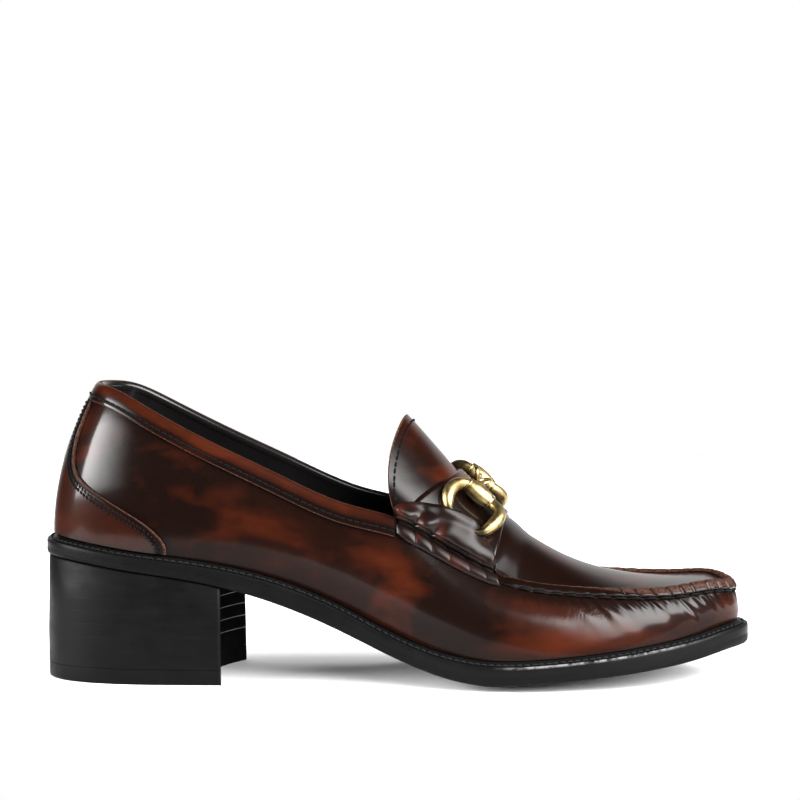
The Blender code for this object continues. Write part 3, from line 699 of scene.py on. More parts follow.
def stitch_sheets(points, normals, stitch, seed, tilt=0.0):
    """Thread along a path: short arcs that rise from the leather and dive back into it."""
    pitch, size, radius, sink = stitch
    run = distance_along(points)
    count = max(int(run[-1] / pitch), 1)
    starts = (np.arange(count) + 0.5) * run[-1] / count
    starts = starts + np.random.default_rng(seed).normal(0, STITCH_JITTER * pitch, count)
    t = np.linspace(-0.5, 0.5, 7)
    place = starts[:, None] + t[None] * size
    p = interpolate(place, run, points)
    n = unit(interpolate(place, run, normals))
    side = unit(np.cross(unit(np.gradient(p, axis=1)), n))
    arc = np.cos(t * math.pi)[None, :, None]
    p = p + n * (arc * radius * 0.9 - sink) + side * (tilt * t[None, :, None] * size * 2)
    thick = radius * np.sqrt(np.clip(1 - (2 * t * 0.96) ** 4, 0.02, 1))
    angle = np.linspace(0, 2 * math.pi, 7)[None, None, :, None]
    ring = side[:, :, None] * np.cos(angle) + n[:, :, None] * np.sin(angle)
    return [Sheet(g) for g in p[:, :, None] + ring * thick[None, :, None, None]]


class Nodes:
    """Short calls for the node tree of a material, a light or the world."""

    def __init__(self, owner, shader):
        owner.use_nodes = True
        self.owner = owner
        self.tree = owner.node_tree
        self.shader = self.tree.nodes[shader]

    def put(self, socket, value):
        if isinstance(value, bpy.types.NodeSocket):
            self.tree.links.new(value, socket)
        elif isinstance(value, tuple) and len(value) == 3 and len(socket.default_value) == 4:
            socket.default_value = (*value, 1.0)
        else:
            socket.default_value = value

    def link(self, name, value):
        self.put(self.shader.inputs[name], value)

    def node(self, kind, inputs=None, **settings):
        n = self.tree.nodes.new("ShaderNode" + kind)
        for key, value in settings.items():
            setattr(n, key, value)
        for key, value in (inputs or {}).items():
            self.put(n.inputs[key], value)
        return n

    def place(self):
        return self.node("TexCoord").outputs["Object"]

    def noise(self, scale, detail=3.0, rough=0.5, stretch=None, distort=0.0):
        vector = self.place()
        if stretch:
            vector = self.node("Mapping", {"Vector": vector, "Scale": stretch}).outputs["Vector"]
        return self.node("TexNoise", {"Vector": vector, "Scale": scale, "Detail": detail,
                                      "Roughness": rough, "Distortion": distort}).outputs["Fac"]

    def math(self, kind, a, b=0.0, clamp=False):
        return self.node("Math", {0: a, 1: b}, operation=kind, use_clamp=clamp).outputs[0]

    def plus(self, a, b):
        return self.math("ADD", a, b)

    def minus(self, a, b, clamp=False):
        return self.math("SUBTRACT", a, b, clamp)

    def times(self, a, b, clamp=False):
        return self.math("MULTIPLY", a, b, clamp)

    def ramp(self, value, low, high, a=0.0, b=1.0):
        """Smooth change from a, where value is low, to b, where it is high."""
        inputs = {"Value": value, "From Min": low, "From Max": high, "To Min": a, "To Max": b}
        return self.node("MapRange", inputs, interpolation_type="SMOOTHSTEP").outputs["Result"]

    def blend(self, factor, a, b):
        return self.node("Mix", {0: factor, 6: a, 7: b}, data_type="RGBA").outputs[2]

    def field(self, name):
        return self.node("Attribute", attribute_name=name).outputs["Fac"]

    def bump(self, height, strength, distance, normal=None):
        inputs = {"Strength": strength, "Distance": distance, "Height": height}
        if normal is not None:
            inputs["Normal"] = normal
        return self.node("Bump", inputs).outputs["Normal"]


SOCKETS = {"base": "Base Color", "rough": "Roughness", "metal": "Metallic", "coat": "Coat Weight",
           "coat_rough": "Coat Roughness", "coat_ior": "Coat IOR", "specular": "Specular IOR Level"}
MATERIALS = {}


def new_finish(name, **values):
    m = Nodes(bpy.data.materials.new(name), "Principled BSDF")
    for key, value in values.items():
        m.link(SOCKETS[key], value)
    return m


def shaded(colour, factor):
    return tuple(c * factor for c in colour)


def leather_material(name, dark, red, gloss=0.13):
    """Brushed-off leather: near black where the dye is left and in painted shade, red-brown where
    it was rubbed away.
    """
    m = new_finish(name, rough=0.45, coat=0.6, coat_rough=gloss, coat_ior=1.35, specular=0.03)
    cloud = m.noise(26.0, 3.0, 0.55, stretch=(0.7, 1.0, 1.5), distort=0.4)
    fine = m.noise(95.0, 3.0, 0.6)
    rubbed = m.plus(m.ramp(cloud, 0.47, 0.70), m.ramp(fine, 0.45, 0.75, -0.12, 0.16))
    rubbed = m.plus(rubbed, m.field("rub"))
    # The dark field, dye left at seams and edges together with painted shade in creases, folds and
    # at the foot, holds back the red
    rubbed = m.times(rubbed, m.minus(1.0, m.field("dark"), clamp=True), clamp=True)
    streak = m.noise(420.0, 2.0, 0.5, stretch=(0.35, 1.0, 1.0))
    colour = m.blend(rubbed, dark, red)
    colour = m.blend(m.ramp(streak, 0.55, 0.8, 0.0, 0.25), colour, shaded(dark, 0.45))
    raw = m.field("raw")
    nap = m.ramp(m.noise(1500.0, 3.0, 0.6), 0.3, 0.7)
    raw_colour = m.blend(nap, (0.016, 0.0060, 0.0036), (0.078, 0.036, 0.025))
    m.link("Base Color", m.blend(raw, colour, raw_colour))
    m.link("Roughness", m.ramp(raw, 0.0, 1.0, 0.38, 0.75))
    kept = m.minus(1.0, m.times(m.field("dull"), 0.92))
    m.link("Coat Weight", m.times(m.ramp(raw, 0.0, 0.7, 0.60, 0.03), kept, clamp=True))
    grain = m.noise(1100.0, 4.0, 0.6)
    cells = m.node("TexVoronoi", {"Vector": m.place(), "Scale": 1500.0}).outputs["Distance"]
    pores = m.ramp(cells, 0.0, 0.35, -0.6, 0.0)
    wave = m.noise(70.0, 2.0, 0.5)
    normal = m.bump(m.plus(m.times(grain, 0.8), m.times(pores, 0.35)), 0.16, 0.00012)
    normal = m.bump(wave, 0.25, 0.0005, normal)
    m.link("Normal", m.bump(m.times(nap, raw), 0.7, 0.0003, normal))
    lines = m.times(m.noise(520.0, 3.0, 0.6, stretch=(1.0, 1.0, 0.35)), m.field("wrinkle"))
    coat = m.bump(lines, 0.7, 0.0004, m.bump(wave, 0.22, 0.0005))
    m.link("Coat Normal", m.bump(grain, 0.05, 0.00008, coat))
    return m.owner


def black_material(name, base, rough, coat, grain, mottled=0.3):
    """Black leather or rubber, a little mottled, with a light grey painted highlight where its
    field asks for it.
    """
    m = new_finish(name, rough=rough, coat=coat, coat_rough=0.18, specular=0.05)
    patch = m.ramp(m.noise(45.0, 3.0, 0.6), 0.35, 0.7)
    # Light grey painted highlight along an edge, broken up by noise
    worn = m.times(m.field("worn"), m.ramp(m.noise(330.0, 3.0, 0.7), 0.35, 0.6))
    colour = m.blend(patch, base, shaded(base, 1 + mottled))
    m.link("Base Color", m.blend(worn, colour, (0.13, 0.13, 0.13)))
    sheen = m.noise(160.0, 3.0, 0.6)
    m.link("Roughness", m.ramp(sheen, 0.3, 0.7, rough * 0.85, rough * 1.2))
    m.link("Normal", m.bump(m.noise(900.0, 4.0, 0.6), grain, 0.00015))
    return m.owner


def stacked_material(name, base, joint_glint_colour, specular):
    """Heel block: black dressing over stacked lifts, whose joints show as fine lines painted in a
    glint colour, a painted highlight.
    """
    m = new_finish(name, rough=0.45, coat=0.0, coat_rough=0.25, specular=specular)
    height = m.node("SeparateXYZ", {0: m.place()}).outputs["Z"]
    wobble = m.times(m.noise(30.0, 2.0, 0.5), 0.0006)
    level = m.times(m.plus(m.minus(height, LIFT_JOINT_Z), wobble), 1 / LIFT_PITCH)
    joint = m.math("ABSOLUTE", m.minus(m.math("FRACT", level), 0.5))
    # Painted glint along each lift joint, broken into dashes
    line = m.times(m.ramp(joint, 0.0, 0.05, 1.0, 0.0), m.ramp(height, 0.0105, 0.0115))
    broken = m.ramp(m.noise(110.0, 3.0, 0.6), 0.32, 0.56, 0.1, 1.0)
    streak = m.noise(60.0, 4.0, 0.6, stretch=(1.0, 1.0, 6.0))
    colour = m.blend(m.ramp(streak, 0.3, 0.75), base, shaded(base, 1.5))
    m.link("Base Color", m.blend(m.times(line, broken), colour, joint_glint_colour))
    m.link("Roughness", m.ramp(m.noise(120.0, 3.0, 0.6), 0.3, 0.7, 0.38, 0.50))
    relief = m.minus(m.times(m.noise(700.0, 3.0, 0.5), 0.3), m.times(line, 0.4))
    m.link("Normal", m.bump(relief, 0.3, 0.0002))
    return m.owner


def brass_material(name):
    """Aged brass, dark in its corners: patina in its hollows, and painted shade on the barrel's
    ends and on the ring's thin arc under the tab.
    """
    m = new_finish(name, rough=0.36, metal=1.0, specular=0.5)
    patch = m.ramp(m.noise(240.0, 3.0, 0.6), 0.42, 0.78)
    colour = m.blend(patch, (0.40, 0.300, 0.130), (0.20, 0.142, 0.060))
    m.link("Base Color", m.blend(m.ramp(m.field("dark"), 0.0, 1.0), colour, (0.030, 0.022, 0.012)))
    m.link("Roughness", m.ramp(m.noise(500.0, 3.0, 0.6), 0.3, 0.7, 0.33, 0.47))
    m.link("Normal", m.bump(m.noise(900.0, 2.0, 0.5), 0.06, 0.0001))
    return m.owner


def thread_material(name, base):
    m = new_finish(name, base=base, rough=0.6, specular=0.06)
    twist = m.noise(2600.0, 2.0, 0.5)
    m.link("Base Color", m.blend(twist, shaded(base, 0.6), shaded(base, 1.5)))
    m.link("Normal", m.bump(twist, 0.4, 0.0001))
    return m.owner


def floor_material(name):
    m = new_finish(name, base=(0.80, 0.80, 0.80), rough=0.9, specular=0.1)
    m.link("Roughness", m.ramp(m.noise(6.0, 2.0, 0.5), 0.3, 0.7, 0.82, 0.9))
    return m.owner


def make_materials(settings):
    dark, red = tuple(settings.dark_colour), tuple(settings.red_colour)
    MATERIALS.update({
        "leather": leather_material("upper_leather", dark, red),
        "tab": leather_material("tab_leather", dark, red, 0.34),
        "lining": black_material("lining_leather", (0.0050, 0.0046, 0.0045), 0.22, 0.7, 0.1),
        "sole": black_material("sole_leather", (0.0019, 0.0020, 0.0020), 0.50, 0.0, 0.15),
        "welt": black_material("welt_leather", (0.0028, 0.0028, 0.0028), 0.34, 0.0, 0.4),
        "tread": black_material("tread_leather", (0.0200, 0.0170, 0.0150), 0.5, 0.1, 0.5),
        "rubber": black_material("lift_rubber", (0.0018, 0.0018, 0.0019), 0.45, 0.0, 0.3),
        # The lift joints get painted glints: faint on the heel's sides, light grey on the breast
        "heel": stacked_material("heel_leather", (0.0018, 0.0018, 0.0019),
                                 (0.0025, 0.0025, 0.0025), 0.05),
        "breast": stacked_material("breast_leather", (0.0042, 0.0042, 0.0042),
                                   (0.30, 0.30, 0.29), 0.0),
        "brass": brass_material("antique_brass"),
        "thread": thread_material("black_thread", (0.0022, 0.0022, 0.0023)),
        "thread_light": thread_material("dusty_thread", (0.0075, 0.0080, 0.0080)),
    })


def crease_height(run, run_of, d_mm, side):
    """Soft troughs of the gathered wall: run is the distance along the seam, d_mm below it."""
    total = np.zeros(np.broadcast(run, d_mm).shape)
    rng = np.random.default_rng(5 if side < 0 else 9)
    for section, length, slant, depth, width in CREASES:
        shake = rng.normal(0, 0.02) if side > 0 else 0.0
        centre = np.interp(section + shake, *run_of) * 1000
        t = np.clip((d_mm - 4.0) / (length * 1.35), 0.0, None)
        line = centre + 1.2 * slant * t * (1 + 0.15 * np.sin(3 * t))
        away = (run * 1000 - line) / (width * (0.95 + 1.1 * t))
        here = depth * fade(0.15, 1.0, t) * step(3.6, 4.8, d_mm)
        total -= (0.85 - 0.30 * step(12.1, 12.8, section)) * here * bell(away, 0, 1)
        total += 0.20 * here * (bell(away, 1.8, 1) + bell(away, -1.8, 1))
    for section, below, width, length, depth in SWELLS:
        centre = np.interp(section, *run_of) * 1000
        across = bell(run * 1000 - centre - 0.35 * (d_mm - 4), 0, width)
        total += 1.5 * depth * across * bell(d_mm, below, length) * step(3.8, 5.5, d_mm)
    return total / 1000


def ridge_profile(d_mm):
    """Outward swell of the raised seam at a distance below its crest, 0 to 1."""
    round_top = 1 - 0.62 * fade(0.0, 1.1, d_mm) ** 1.5
    return fade(3.3, 4.1, d_mm) * round_top - 0.38 * bell(d_mm, GROOVE_BELOW_MM, 0.45)


def pinched_at(u):
    """How far the stitches draw in the raised seam at ring places u, 0 to 1."""
    run_mm = side_run(u)[0][:, None] * 1000
    value = np.max([bell(run_mm, c, PINCH_WIDTH_MM) for c in GATHERS_MM], axis=0)
    return value * step(*PINCH_FROM, section_of(u))[:, None]


def wall_sheet(fine):
    """Outside of the wall with the raised seam's outer half, and its creases."""
    gathered = SEAM_START - 0.3
    front = np.linspace(gathered, RING - gathered, int(WALL_FRONT * fine), endpoint=False)
    rear = np.linspace(RING - gathered, RING + gathered, int(WALL_BACK * fine), endpoint=False)
    u = np.concatenate([front, rear])
    length = wall_length(u)[:, None]
    section = section_of(u)[:, None]
    e = seam_raise(u)[:, None]
    pinched = pinched_at(u)
    run, run_of = side_run(u)
    along_mm = run[:, None] * 1000
    low = np.linspace(0, 1, int(WALL_LOW * fine)) ** 0.9
    near_mm = np.concatenate([np.linspace(14.0, 5.4, int(WALL_NEAR * fine)),
                              np.linspace(5.0, 3.0, 11), np.linspace(2.6, 0.9, 5),
                              [0.6, 0.35, 0.15, 0.0]])[None]
    v = np.concatenate([low[None, :-1] * (1 - near_mm[0, 0] / 1000 / length),
                        1 - near_mm / 1000 / length], axis=1)
    d_mm = (1 - v) * length * 1000
    crease = np.zeros(d_mm.shape)
    side = np.where(np.mod(u, RING) < SECTIONS, -1, 1)
    for s in (-1, 1):
        rows = side == s
        crease[rows] = crease_height(run[rows][:, None], run_of, d_mm[rows], s)
    crease = crease * e
    swell = ridge_profile(d_mm) * e * RIDGE_OUT * (1 - PINCH_DEPTH * pinched * (d_mm < 4.0))
    wave = 0.00010 * np.sin(along_mm * 1.15) * bell(d_mm, 2, 2.5)
    held = 0.00008 * step(6.2, 7.4, section) * fade(7.4, 8.6, section)
    wrinkle = held * np.sin(along_mm * 2.1 + d_mm * 0.8) * bell(d_mm, 9, 3.5)
    uu = np.broadcast_to(u[:, None], v.shape)
    out = wall_normal(uu, np.minimum(v, 1 - 0.0006 / length))
    outer = wall_point(uu, v) + out * (swell + crease + (wave + wrinkle) * e)[..., None]

    finger = 1.9 + 1.3 * np.sin(along_mm * 1.35) + 0.9 * np.sin(along_mm * 2.6 + 1)
    finger = finger * step(8.8, 9.2, section) * (1 - 0.6 * step(11.2, 12.4, section))
    below = d_mm - 4.6 - finger
    dull = np.maximum(decay(below, 1.1) * step(3.8, 4.4, d_mm) * e, 0.70 * fade(0.15, 0.50, v))
    wrinkled = step(8.75, 9.2, section) * fade(10.0, 10.9, section) * bell(d_mm, 8.0, 5.5) * e
    crease_shade = np.clip(-crease / 0.00030, 0, 1) * decay(d_mm - 5.0, 3.5)
    # Dark over the raised seam and its groove, fading in fingers below: partly dye left at the
    # seam, partly painted shade under the ridge; painted shade in the crease troughs
    dark = 0.95 * decay(below, 2.0) * step(0.2, 1.2, d_mm) * e + 0.6 * crease_shade
    # Painted shade at the foot where the upper meets the welt, and painted shadow below the collar
    # band
    dark = dark + 0.9 * decay(v * length * 1000, 2.6) + 0.75 * (1 - e) * decay(d_mm - 7.0, 5.0)
    reach = mix(0.9, 3.3, step(10.0, 11.6, section))
    raw = np.where(d_mm < 3.9, 0.60 * fade(reach - 0.8, reach, d_mm), 0.0)
    rub = 0.55 * step(8.2, 9.4, section) * step(4, 12, d_mm) * (1 - 0.55 * step(9.6, 10.4, section))
    rub = rub + 0.45 * step(12.6, 13.4, section)
    rub = rub + 0.2 * step(3.8, 5.0, section) * fade(6.5, 8, section)
    return Sheet(outer, 0, wrap=True, dark=np.clip(dark, 0, 1), raw=raw * e * (1 - 0.85 * pinched),
                 rub=rub, dull=dull, wrinkle=wrinkled)


def apron_sheet(fine):
    """Apron, vamp and tongue, with the raised seam's inner half along both edges."""
    front = np.linspace(CORNER, SECTIONS, int(APRON_GRID[0] * fine))
    w = np.linspace(0, 1, int(APRON_GRID[1] * fine))
    arch = arch_point(front[:, None], w[None])
    arch[-1] = arch_point(np.array(float(SECTIONS)), np.array(0.0))
    ridge = np.array([0.0, 0.12, 0.25, 0.4, 0.52, 0.62, 0.72, 0.82, 0.92])
    lines, pins = [], []
    for u in (front, RING - front):
        e = seam_raise(u)[:, None]
        pin = pinched_at(u)
        out = wall_normal(u, np.full(u.shape, 0.985))
        top = top_point(u) + out * (0.38 * e * RIDGE_OUT * (1 - PINCH_DEPTH * pin))
        line = top[:, None] + (arch_edge(u) - top)[:, None] * ridge[None, :, None]
        line[..., 2] += (ridge - step(0.40, 1.0, ridge))[None] * SEAM_STEP * e
        rounded = np.sin(math.pi * np.clip(ridge / 0.8, 0, 1))[None]
        line[..., 2] += 0.00018 * rounded * e * (1 - 1.6 * pin)
        lines.append(line)
        pins.append(np.repeat(pin, len(ridge), axis=1))
    apron = np.concatenate([lines[0], arch, lines[1][:, ::-1]], axis=1)
    pins = np.concatenate([pins[0], np.zeros((len(front), len(w))), pins[1][:, ::-1]], axis=1)
    cols = np.concatenate([np.zeros(len(ridge)), w, np.ones(len(ridge))])[None]
    on_ridge = np.concatenate([ridge, np.ones(len(w)), ridge[::-1]])[None]
    e = seam_raise(front)[:, None]
    reach = np.minimum(cols, 1 - cols)
    width_mm = np.linalg.norm(arch[:, 0] - arch[:, -1], axis=1)[:, None] * 1000
    dark = decay(reach * np.pi / 2 * width_mm, 2.8) * e * (on_ridge >= 0.75)
    raw = np.where(on_ridge < 0.75, 0.85, 0.0) * e * (1 - 0.85 * pins)
    front = front[:, None]
    dull = np.minimum(1.1 * bell(front, 9.2, 0.70) * np.exp(-(reach / 0.33) ** 4), 1)
    crest = bell(cols, 0.42, 0.17)
    rub = 0.35 * crest * fade(7.9, 8.4, front) + 0.10 * crest - 0.12
    return Sheet(apron, 0, dark=dark, raw=raw, rub=rub, dull=dull * step(8.6, 8.75, front))


def inner_seam(u):
    e = seam_raise(u)[:, None]
    inward = seam_inward(u) * (LEATHER + 0.0006 * e)
    return top_point(u) + inward - UP * (SEAM_STEP + LEATHER) * e


def lining_sheets():
    """Inside of the wall and of the apron, one thickness of leather in."""
    u = np.linspace(0, RING, LINING_GRID[0], endpoint=False)
    uu, vv = np.meshgrid(u, np.linspace(0, 1, LINING_GRID[1]), indexing="ij")
    wall = wall_point(uu, vv) - wall_normal(uu, vv) * LEATHER
    wall[:, 0] = foot_point(u, FEATHER_INSET + LEATHER)
    wall[:, -1] = np.where((section_of(u) >= CORNER)[:, None], inner_seam(u), wall[:, -1])
    front = np.linspace(CORNER, SECTIONS, APRON_LINING_GRID[0])
    uu, ww = np.meshgrid(front, np.linspace(0, 1, APRON_LINING_GRID[1]), indexing="ij")
    arch = arch_point(uu, ww) - arch_normal(uu, ww) * LEATHER
    arch[:, 0] = inner_seam(front)
    arch[:, -1] = inner_seam(RING - front)
    arch[-1] = inner_seam(np.array([float(SECTIONS)]))
    return [Sheet(wall, 1, wrap=True), Sheet(arch, 1)]


def tongue_rim():
    """Pale cut edge round the top of the tongue."""
    w = np.linspace(0, 1, RIM_GRID[0])
    u = np.full(w.shape, float(CORNER))
    face, normal = arch_point(u, w), arch_normal(u, w)
    ahead = unit(arch_point(u + 0.05, w) - face)
    turn = np.linspace(0, math.pi, RIM_GRID[1])[None, :, None]
    half = LEATHER / 2
    rim = (face - normal * half)[:, None] + normal[:, None] * (half * np.cos(turn))
    return Sheet(rim - ahead[:, None] * (0.45 * half * np.sin(turn)), 0, raw=1.0)


def build_upper(settings):
    sheets = [wall_sheet(settings.fine), apron_sheet(settings.fine)]
    sheets += lining_sheets() + [tongue_rim()]
    add_mesh("upper_skin", sheets, "leather lining", ["upper"])


def build_upper_stitches():
    """Row across the tongue, and hand-sewn stitches in the groove below the raised seam."""
    w = np.linspace(0.035, 0.965, 300)
    u = np.full(w.shape, CORNER + TONGUE_STITCH_AT)
    sheets = stitch_sheets(arch_point(u, w), arch_normal(u, w), TONGUE_STITCH, 4)
    add_mesh("tongue_stitches", sheets, "thread")
    sheets = []
    for side in (-1, 1):
        u = on_side(side, np.linspace(8.86, SECTIONS, 500))
        v = 1 - SEAM_STITCH_BELOW / wall_length(u)
        sheets += stitch_sheets(wall_point(u, v), wall_normal(u, v), SEAM_STITCH, 11 + side)
    add_mesh("seam_stitches", sheets, "thread")


def build_band(settings):
    """Collar band, rolled over the top edge, with a raw lower edge."""
    end = CORNER - 0.03
    u = np.linspace(-end, end, int(BAND_COLUMNS * settings.fine))
    length = wall_length(u)
    top, top_n = top_point(u), wall_normal(u, 1 - 0.001 / length)
    rows = []
    for d, h in BAND_PROFILE:
        if d >= 0:
            v = 1 - d / 1000 / length
            rows.append(wall_point(u, v) + wall_normal(u, v) * (GAP + h / 1000))
        else:
            rows.append(top + top_n * (GAP + h / 1000) - UP * d / 1000)
    grid = np.stack(rows, axis=1)
    d, h = np.array(BAND_PROFILE).T[:, None]
    raw = 1.0 * ((d > 6.9) & (h > 0.3)) + 0.9 * ((d < 0) & (h < 0.2) & (h > -1.0))
    dark = 0.75 * step(3.2, 4.8, d) + 0.5 * fade(0.0, 0.6, d)
    dark = np.clip(dark + 0.35 * step(5.8, 6.8, np.abs(u)[:, None]), 0, 1)
    rub = 0.75 * fade(2.6, 4.4, d) * (h > 0)
    out = np.s_[:, :BAND_LINING_FROM + 1]
    sheets = [Sheet(grid[out], 0, dark=dark[out], raw=raw[out], rub=rub[out]),
              Sheet(grid[:, BAND_LINING_FROM:], 1)]
    sheets += [strip(end_row, end_row.mean(0), dark=1.0) for end_row in (grid[0], grid[-1])]
    add_mesh("collar_band_skin", sheets, "leather lining", ["collar_band"])
    v = 1 - COLLAR_STITCH_BELOW / length
    normals = wall_normal(u, v)
    points = wall_point(u, v) + normals * (GAP + COLLAR_STITCH_OUT)
    sheets = stitch_sheets(points, normals, COLLAR_STITCH, 21)
    add_mesh("collar_stitches", sheets, "thread")


def counter_skin(u, share):
    """Wall under the counter, share from its foot to the collar band: v, point and normal."""
    length = wall_length(u)
    v = mix(0.0007 / length, 1 - (BAND_WIDTH + 0.0004) / length, np.clip(share, 0, 1))
    return v, wall_point(u, v), wall_normal(u, v)


def counter_row(side, inset_mm, lift):
    """Path along the counter's front edge, moved back onto it by inset_mm."""
    t = np.linspace(0, len(COUNTER["height"]) - 1, 400)
    u = -side * spline(COUNTER["section"])(t)
    v, p, n = counter_skin(u, spline(COUNTER["height"])(t))
    back = np.cross(n, unit(np.gradient(p, axis=0)))
    back = turned(back, dot(back, wall_point(u * 0.9, v) - p) < 0)
    return p + back * inset_mm / 1000 + n * lift, n


def build_counter(settings):
    """Heel counter with two grooves along its front edge for the stitches."""
    t = np.linspace(0, len(COUNTER["height"]) - 1, int(COUNTER_GRID[0] * settings.fine))
    across = np.linspace(-1, 1, int(COUNTER_GRID[1] * settings.fine))
    across = np.sign(across) * np.abs(across) ** 1.15
    edge = spline(COUNTER["section"])(t)[:, None]
    s, a = np.meshgrid(spline(COUNTER["height"])(t), across, indexing="ij")
    v, p, n = counter_skin(edge * a, s)
    gap_mm = np.linalg.norm(wall_point(edge * np.sign(a), v) - p, axis=-1) * 1000
    puff = 0.62 + 0.38 * step(0.0, 0.5, gap_mm)
    for inset in STITCH_INSETS_MM:
        puff = puff - 0.22 * bell(gap_mm, inset, 0.5)
    outer = p + n * (0.0004 + COUNTER_THICKNESS * puff)[..., None]
    inner = p + n * 0.0002
    sewn = step(0.7, 1.1, gap_mm) * fade(3.7, 4.3, gap_mm)
    # Dark: dye left along the front edge and between the stitch rows, and painted shade at the foot
    # where the counter meets the welt
    dark = 0.85 * bell(gap_mm, 0, 5.0) + 0.9 * decay(v * wall_length(edge * a) * 1000, 2.0) + sewn
    sheets = [Sheet(outer, 0, dark=np.clip(dark, 0, 1), raw=1.0 * (gap_mm < 0.42),
                    rub=0.5 * fade(0.35, 0.6, v), dull=0.9 * sewn), Sheet(inner, 0)]
    for rim in (np.s_[0], np.s_[-1], np.s_[:, 0], np.s_[:, -1]):
        sheets.append(strip(outer[rim], inner[rim], raw=1.0))
    add_mesh("heel_counter_skin", sheets, "leather", ["heel_counter"])
    sheets = []
    for side in (-1, 1):
        for inset in STITCH_INSETS_MM:
            points, normals = counter_row(side, inset, 0.0004 + COUNTER_THICKNESS * 0.84)
            sheets += stitch_sheets(points, normals, COUNTER_STITCH, 31 + int(inset), tilt=0.25)
    add_mesh("counter_stitches", sheets, "thread")


def build_saddle(settings):
    """Strap over the instep, under the bit."""
    w = np.linspace(0.05, 0.95, int(SADDLE_GRID[0] * settings.fine))
    q = np.sin(math.pi * w)
    first = 7.16 + 0.69 * q
    last = 8.78 - 0.08 * q
    t = np.linspace(0, 1, int(SADDLE_GRID[1] * settings.fine))
    u = first[:, None] + (last - first)[:, None] * t[None]
    ww = np.broadcast_to(w[:, None], u.shape)
    p, n = arch_point(u, ww), arch_normal(u, ww)
    size = np.linalg.norm(arch_point(last, w) - arch_point(first, w), axis=-1)[:, None] * 1000
    gap_mm = np.minimum(t, 1 - t)[None] * size
    puff = 0.35 + 0.65 * np.sqrt(np.clip(gap_mm / 1.0, 0, 1))
    outer = p + n * (GAP + SADDLE_THICKNESS * puff)[..., None]
    inner = p + n * GAP
    sheets = [Sheet(outer, 0, dark=0.9 * decay(gap_mm, 1.0), rub=-0.05)]
    sheets += [strip(outer[:, k], inner[:, k], raw=0.06, dark=0.9) for k in (0, -1)]
    sheets += [strip(outer[k], inner[k], dark=1.0) for k in (0, -1)]
    add_mesh("saddle_skin", sheets, "leather", ["saddle"])


def tab_lift(u, r, top):
    """Lift in mm of a tab's outer face over the skin, r mm above the seam; top is its edge."""
    lip = 0.5 + 2.1 * np.sqrt(np.clip(1 - ((r + 4.1) / 3.1) ** 2, 0, 1))
    lip = np.where(r > -4.1, np.maximum(lip, 1.9), lip)
    knob = np.sqrt(np.sin(math.pi * np.clip((r + 0.55) / 9.5, 0, 1)))
    pad = quarter_round(np.clip((r + 0.55) / 5.0, 0, 1))
    belly = 1.0 + (4.8 - 1.6 * step(8.2, 8.7, u)) * mix(knob, pad, step(7.6, 7.9, u))
    held = step(7.52, 7.80, u) * fade(8.22, 8.50, u)
    upper = mix(2.8, 5.4 + 0.9 * step(8.5, 10.0, r), held)
    lift = np.where(r < -0.7, lip, mix(belly, upper, step(4.6, 9.5, r)))
    keep = 1.0
    for stitch, lean, reach, depth in TAB_FOLDS:
        away = np.abs(u - stitch - lean * np.clip(r, 0, None)) * 21.0
        pad = quarter_round(np.clip(away / 3.4, 0, 1))
        keep = keep * (1 - depth * (1 - pad) * fade(0.3 * reach, reach, r))
    lift = np.where(r > -0.75, 0.9 + (lift - 0.9) * keep, 0.6 + (lift - 0.6) * (0.45 + 0.55 * keep))
    lift = lift - (lift - 0.8) * bell(r, -0.8, 0.5)
    lift = mix(np.minimum(lift, 1.9), lift, quarter_round(np.clip((top - r) / 0.9, 0, 1)))
    ends = np.minimum(np.clip((u - TAB_FROM) / 0.14, 0, 1), np.clip((TAB_TO - u) / 0.05, 0, 1))
    return mix(0.45 * np.minimum(lift, 2.6), lift, quarter_round(ends))


def tab_section(u, top, side):
    """Closed line round a tab at section u: its points, its dark places, which are painted shade in
    the seam groove, the fold valleys and on its underside, and its rubbed places.
    """
    low = TAB_LOW_MM * mix(0.80, 1.0, step(7.0, 7.25, u)) * mix(1.0, 0.93, step(8.6, TAB_TO, u))
    outer = np.concatenate([np.linspace(low, -1.8, 26), np.linspace(-1.6, 0.4, 16),
                            np.linspace(0.6, top, 46)])
    soft = np.clip((outer - 0.1) / 1.4, 0, 1)
    lift = sum(share * tab_lift(u + 0.045 * along * soft, outer + 0.8 * up * soft, top)
               for along, up, share in TAB_SOFTNESS)
    lift[0] = 0.5
    inner = np.linspace(top, low, 14)
    under = np.where(inner > 1.5, np.minimum(1.75, lift[-1]), 0.45)
    r = np.concatenate([outer, inner])
    base, normal = skin_line(on_side(side, u), r / 1000)
    points = base + normal * np.concatenate([lift, under])[:, None] / 1000
    fold_shade = np.zeros(len(r))
    for stitch, lean, reach, depth in TAB_FOLDS:
        trace = bell(u, stitch + lean * np.clip(r, 0, None), 0.028)
        fold_shade = np.maximum(fold_shade, depth * 1.3 * trace * fade(0.3 * reach, 0.9 * reach, r))
    # Painted shade in the groove at the seam and in the fold valleys
    dark = np.clip(bell(r, -0.75, 0.9) + 0.8 * fold_shade, 0, 1)
    # Painted shade over the whole underside
    dark[len(outer):] = 1.0
    rub = 0.10 + sum(red * bell(u, section, width) * bell(r, centre, height)
                     for red, section, width, centre, height in TAB_RUBS)
    return [np.concatenate([a, a[:1]]) for a in (points, dark, rub)]


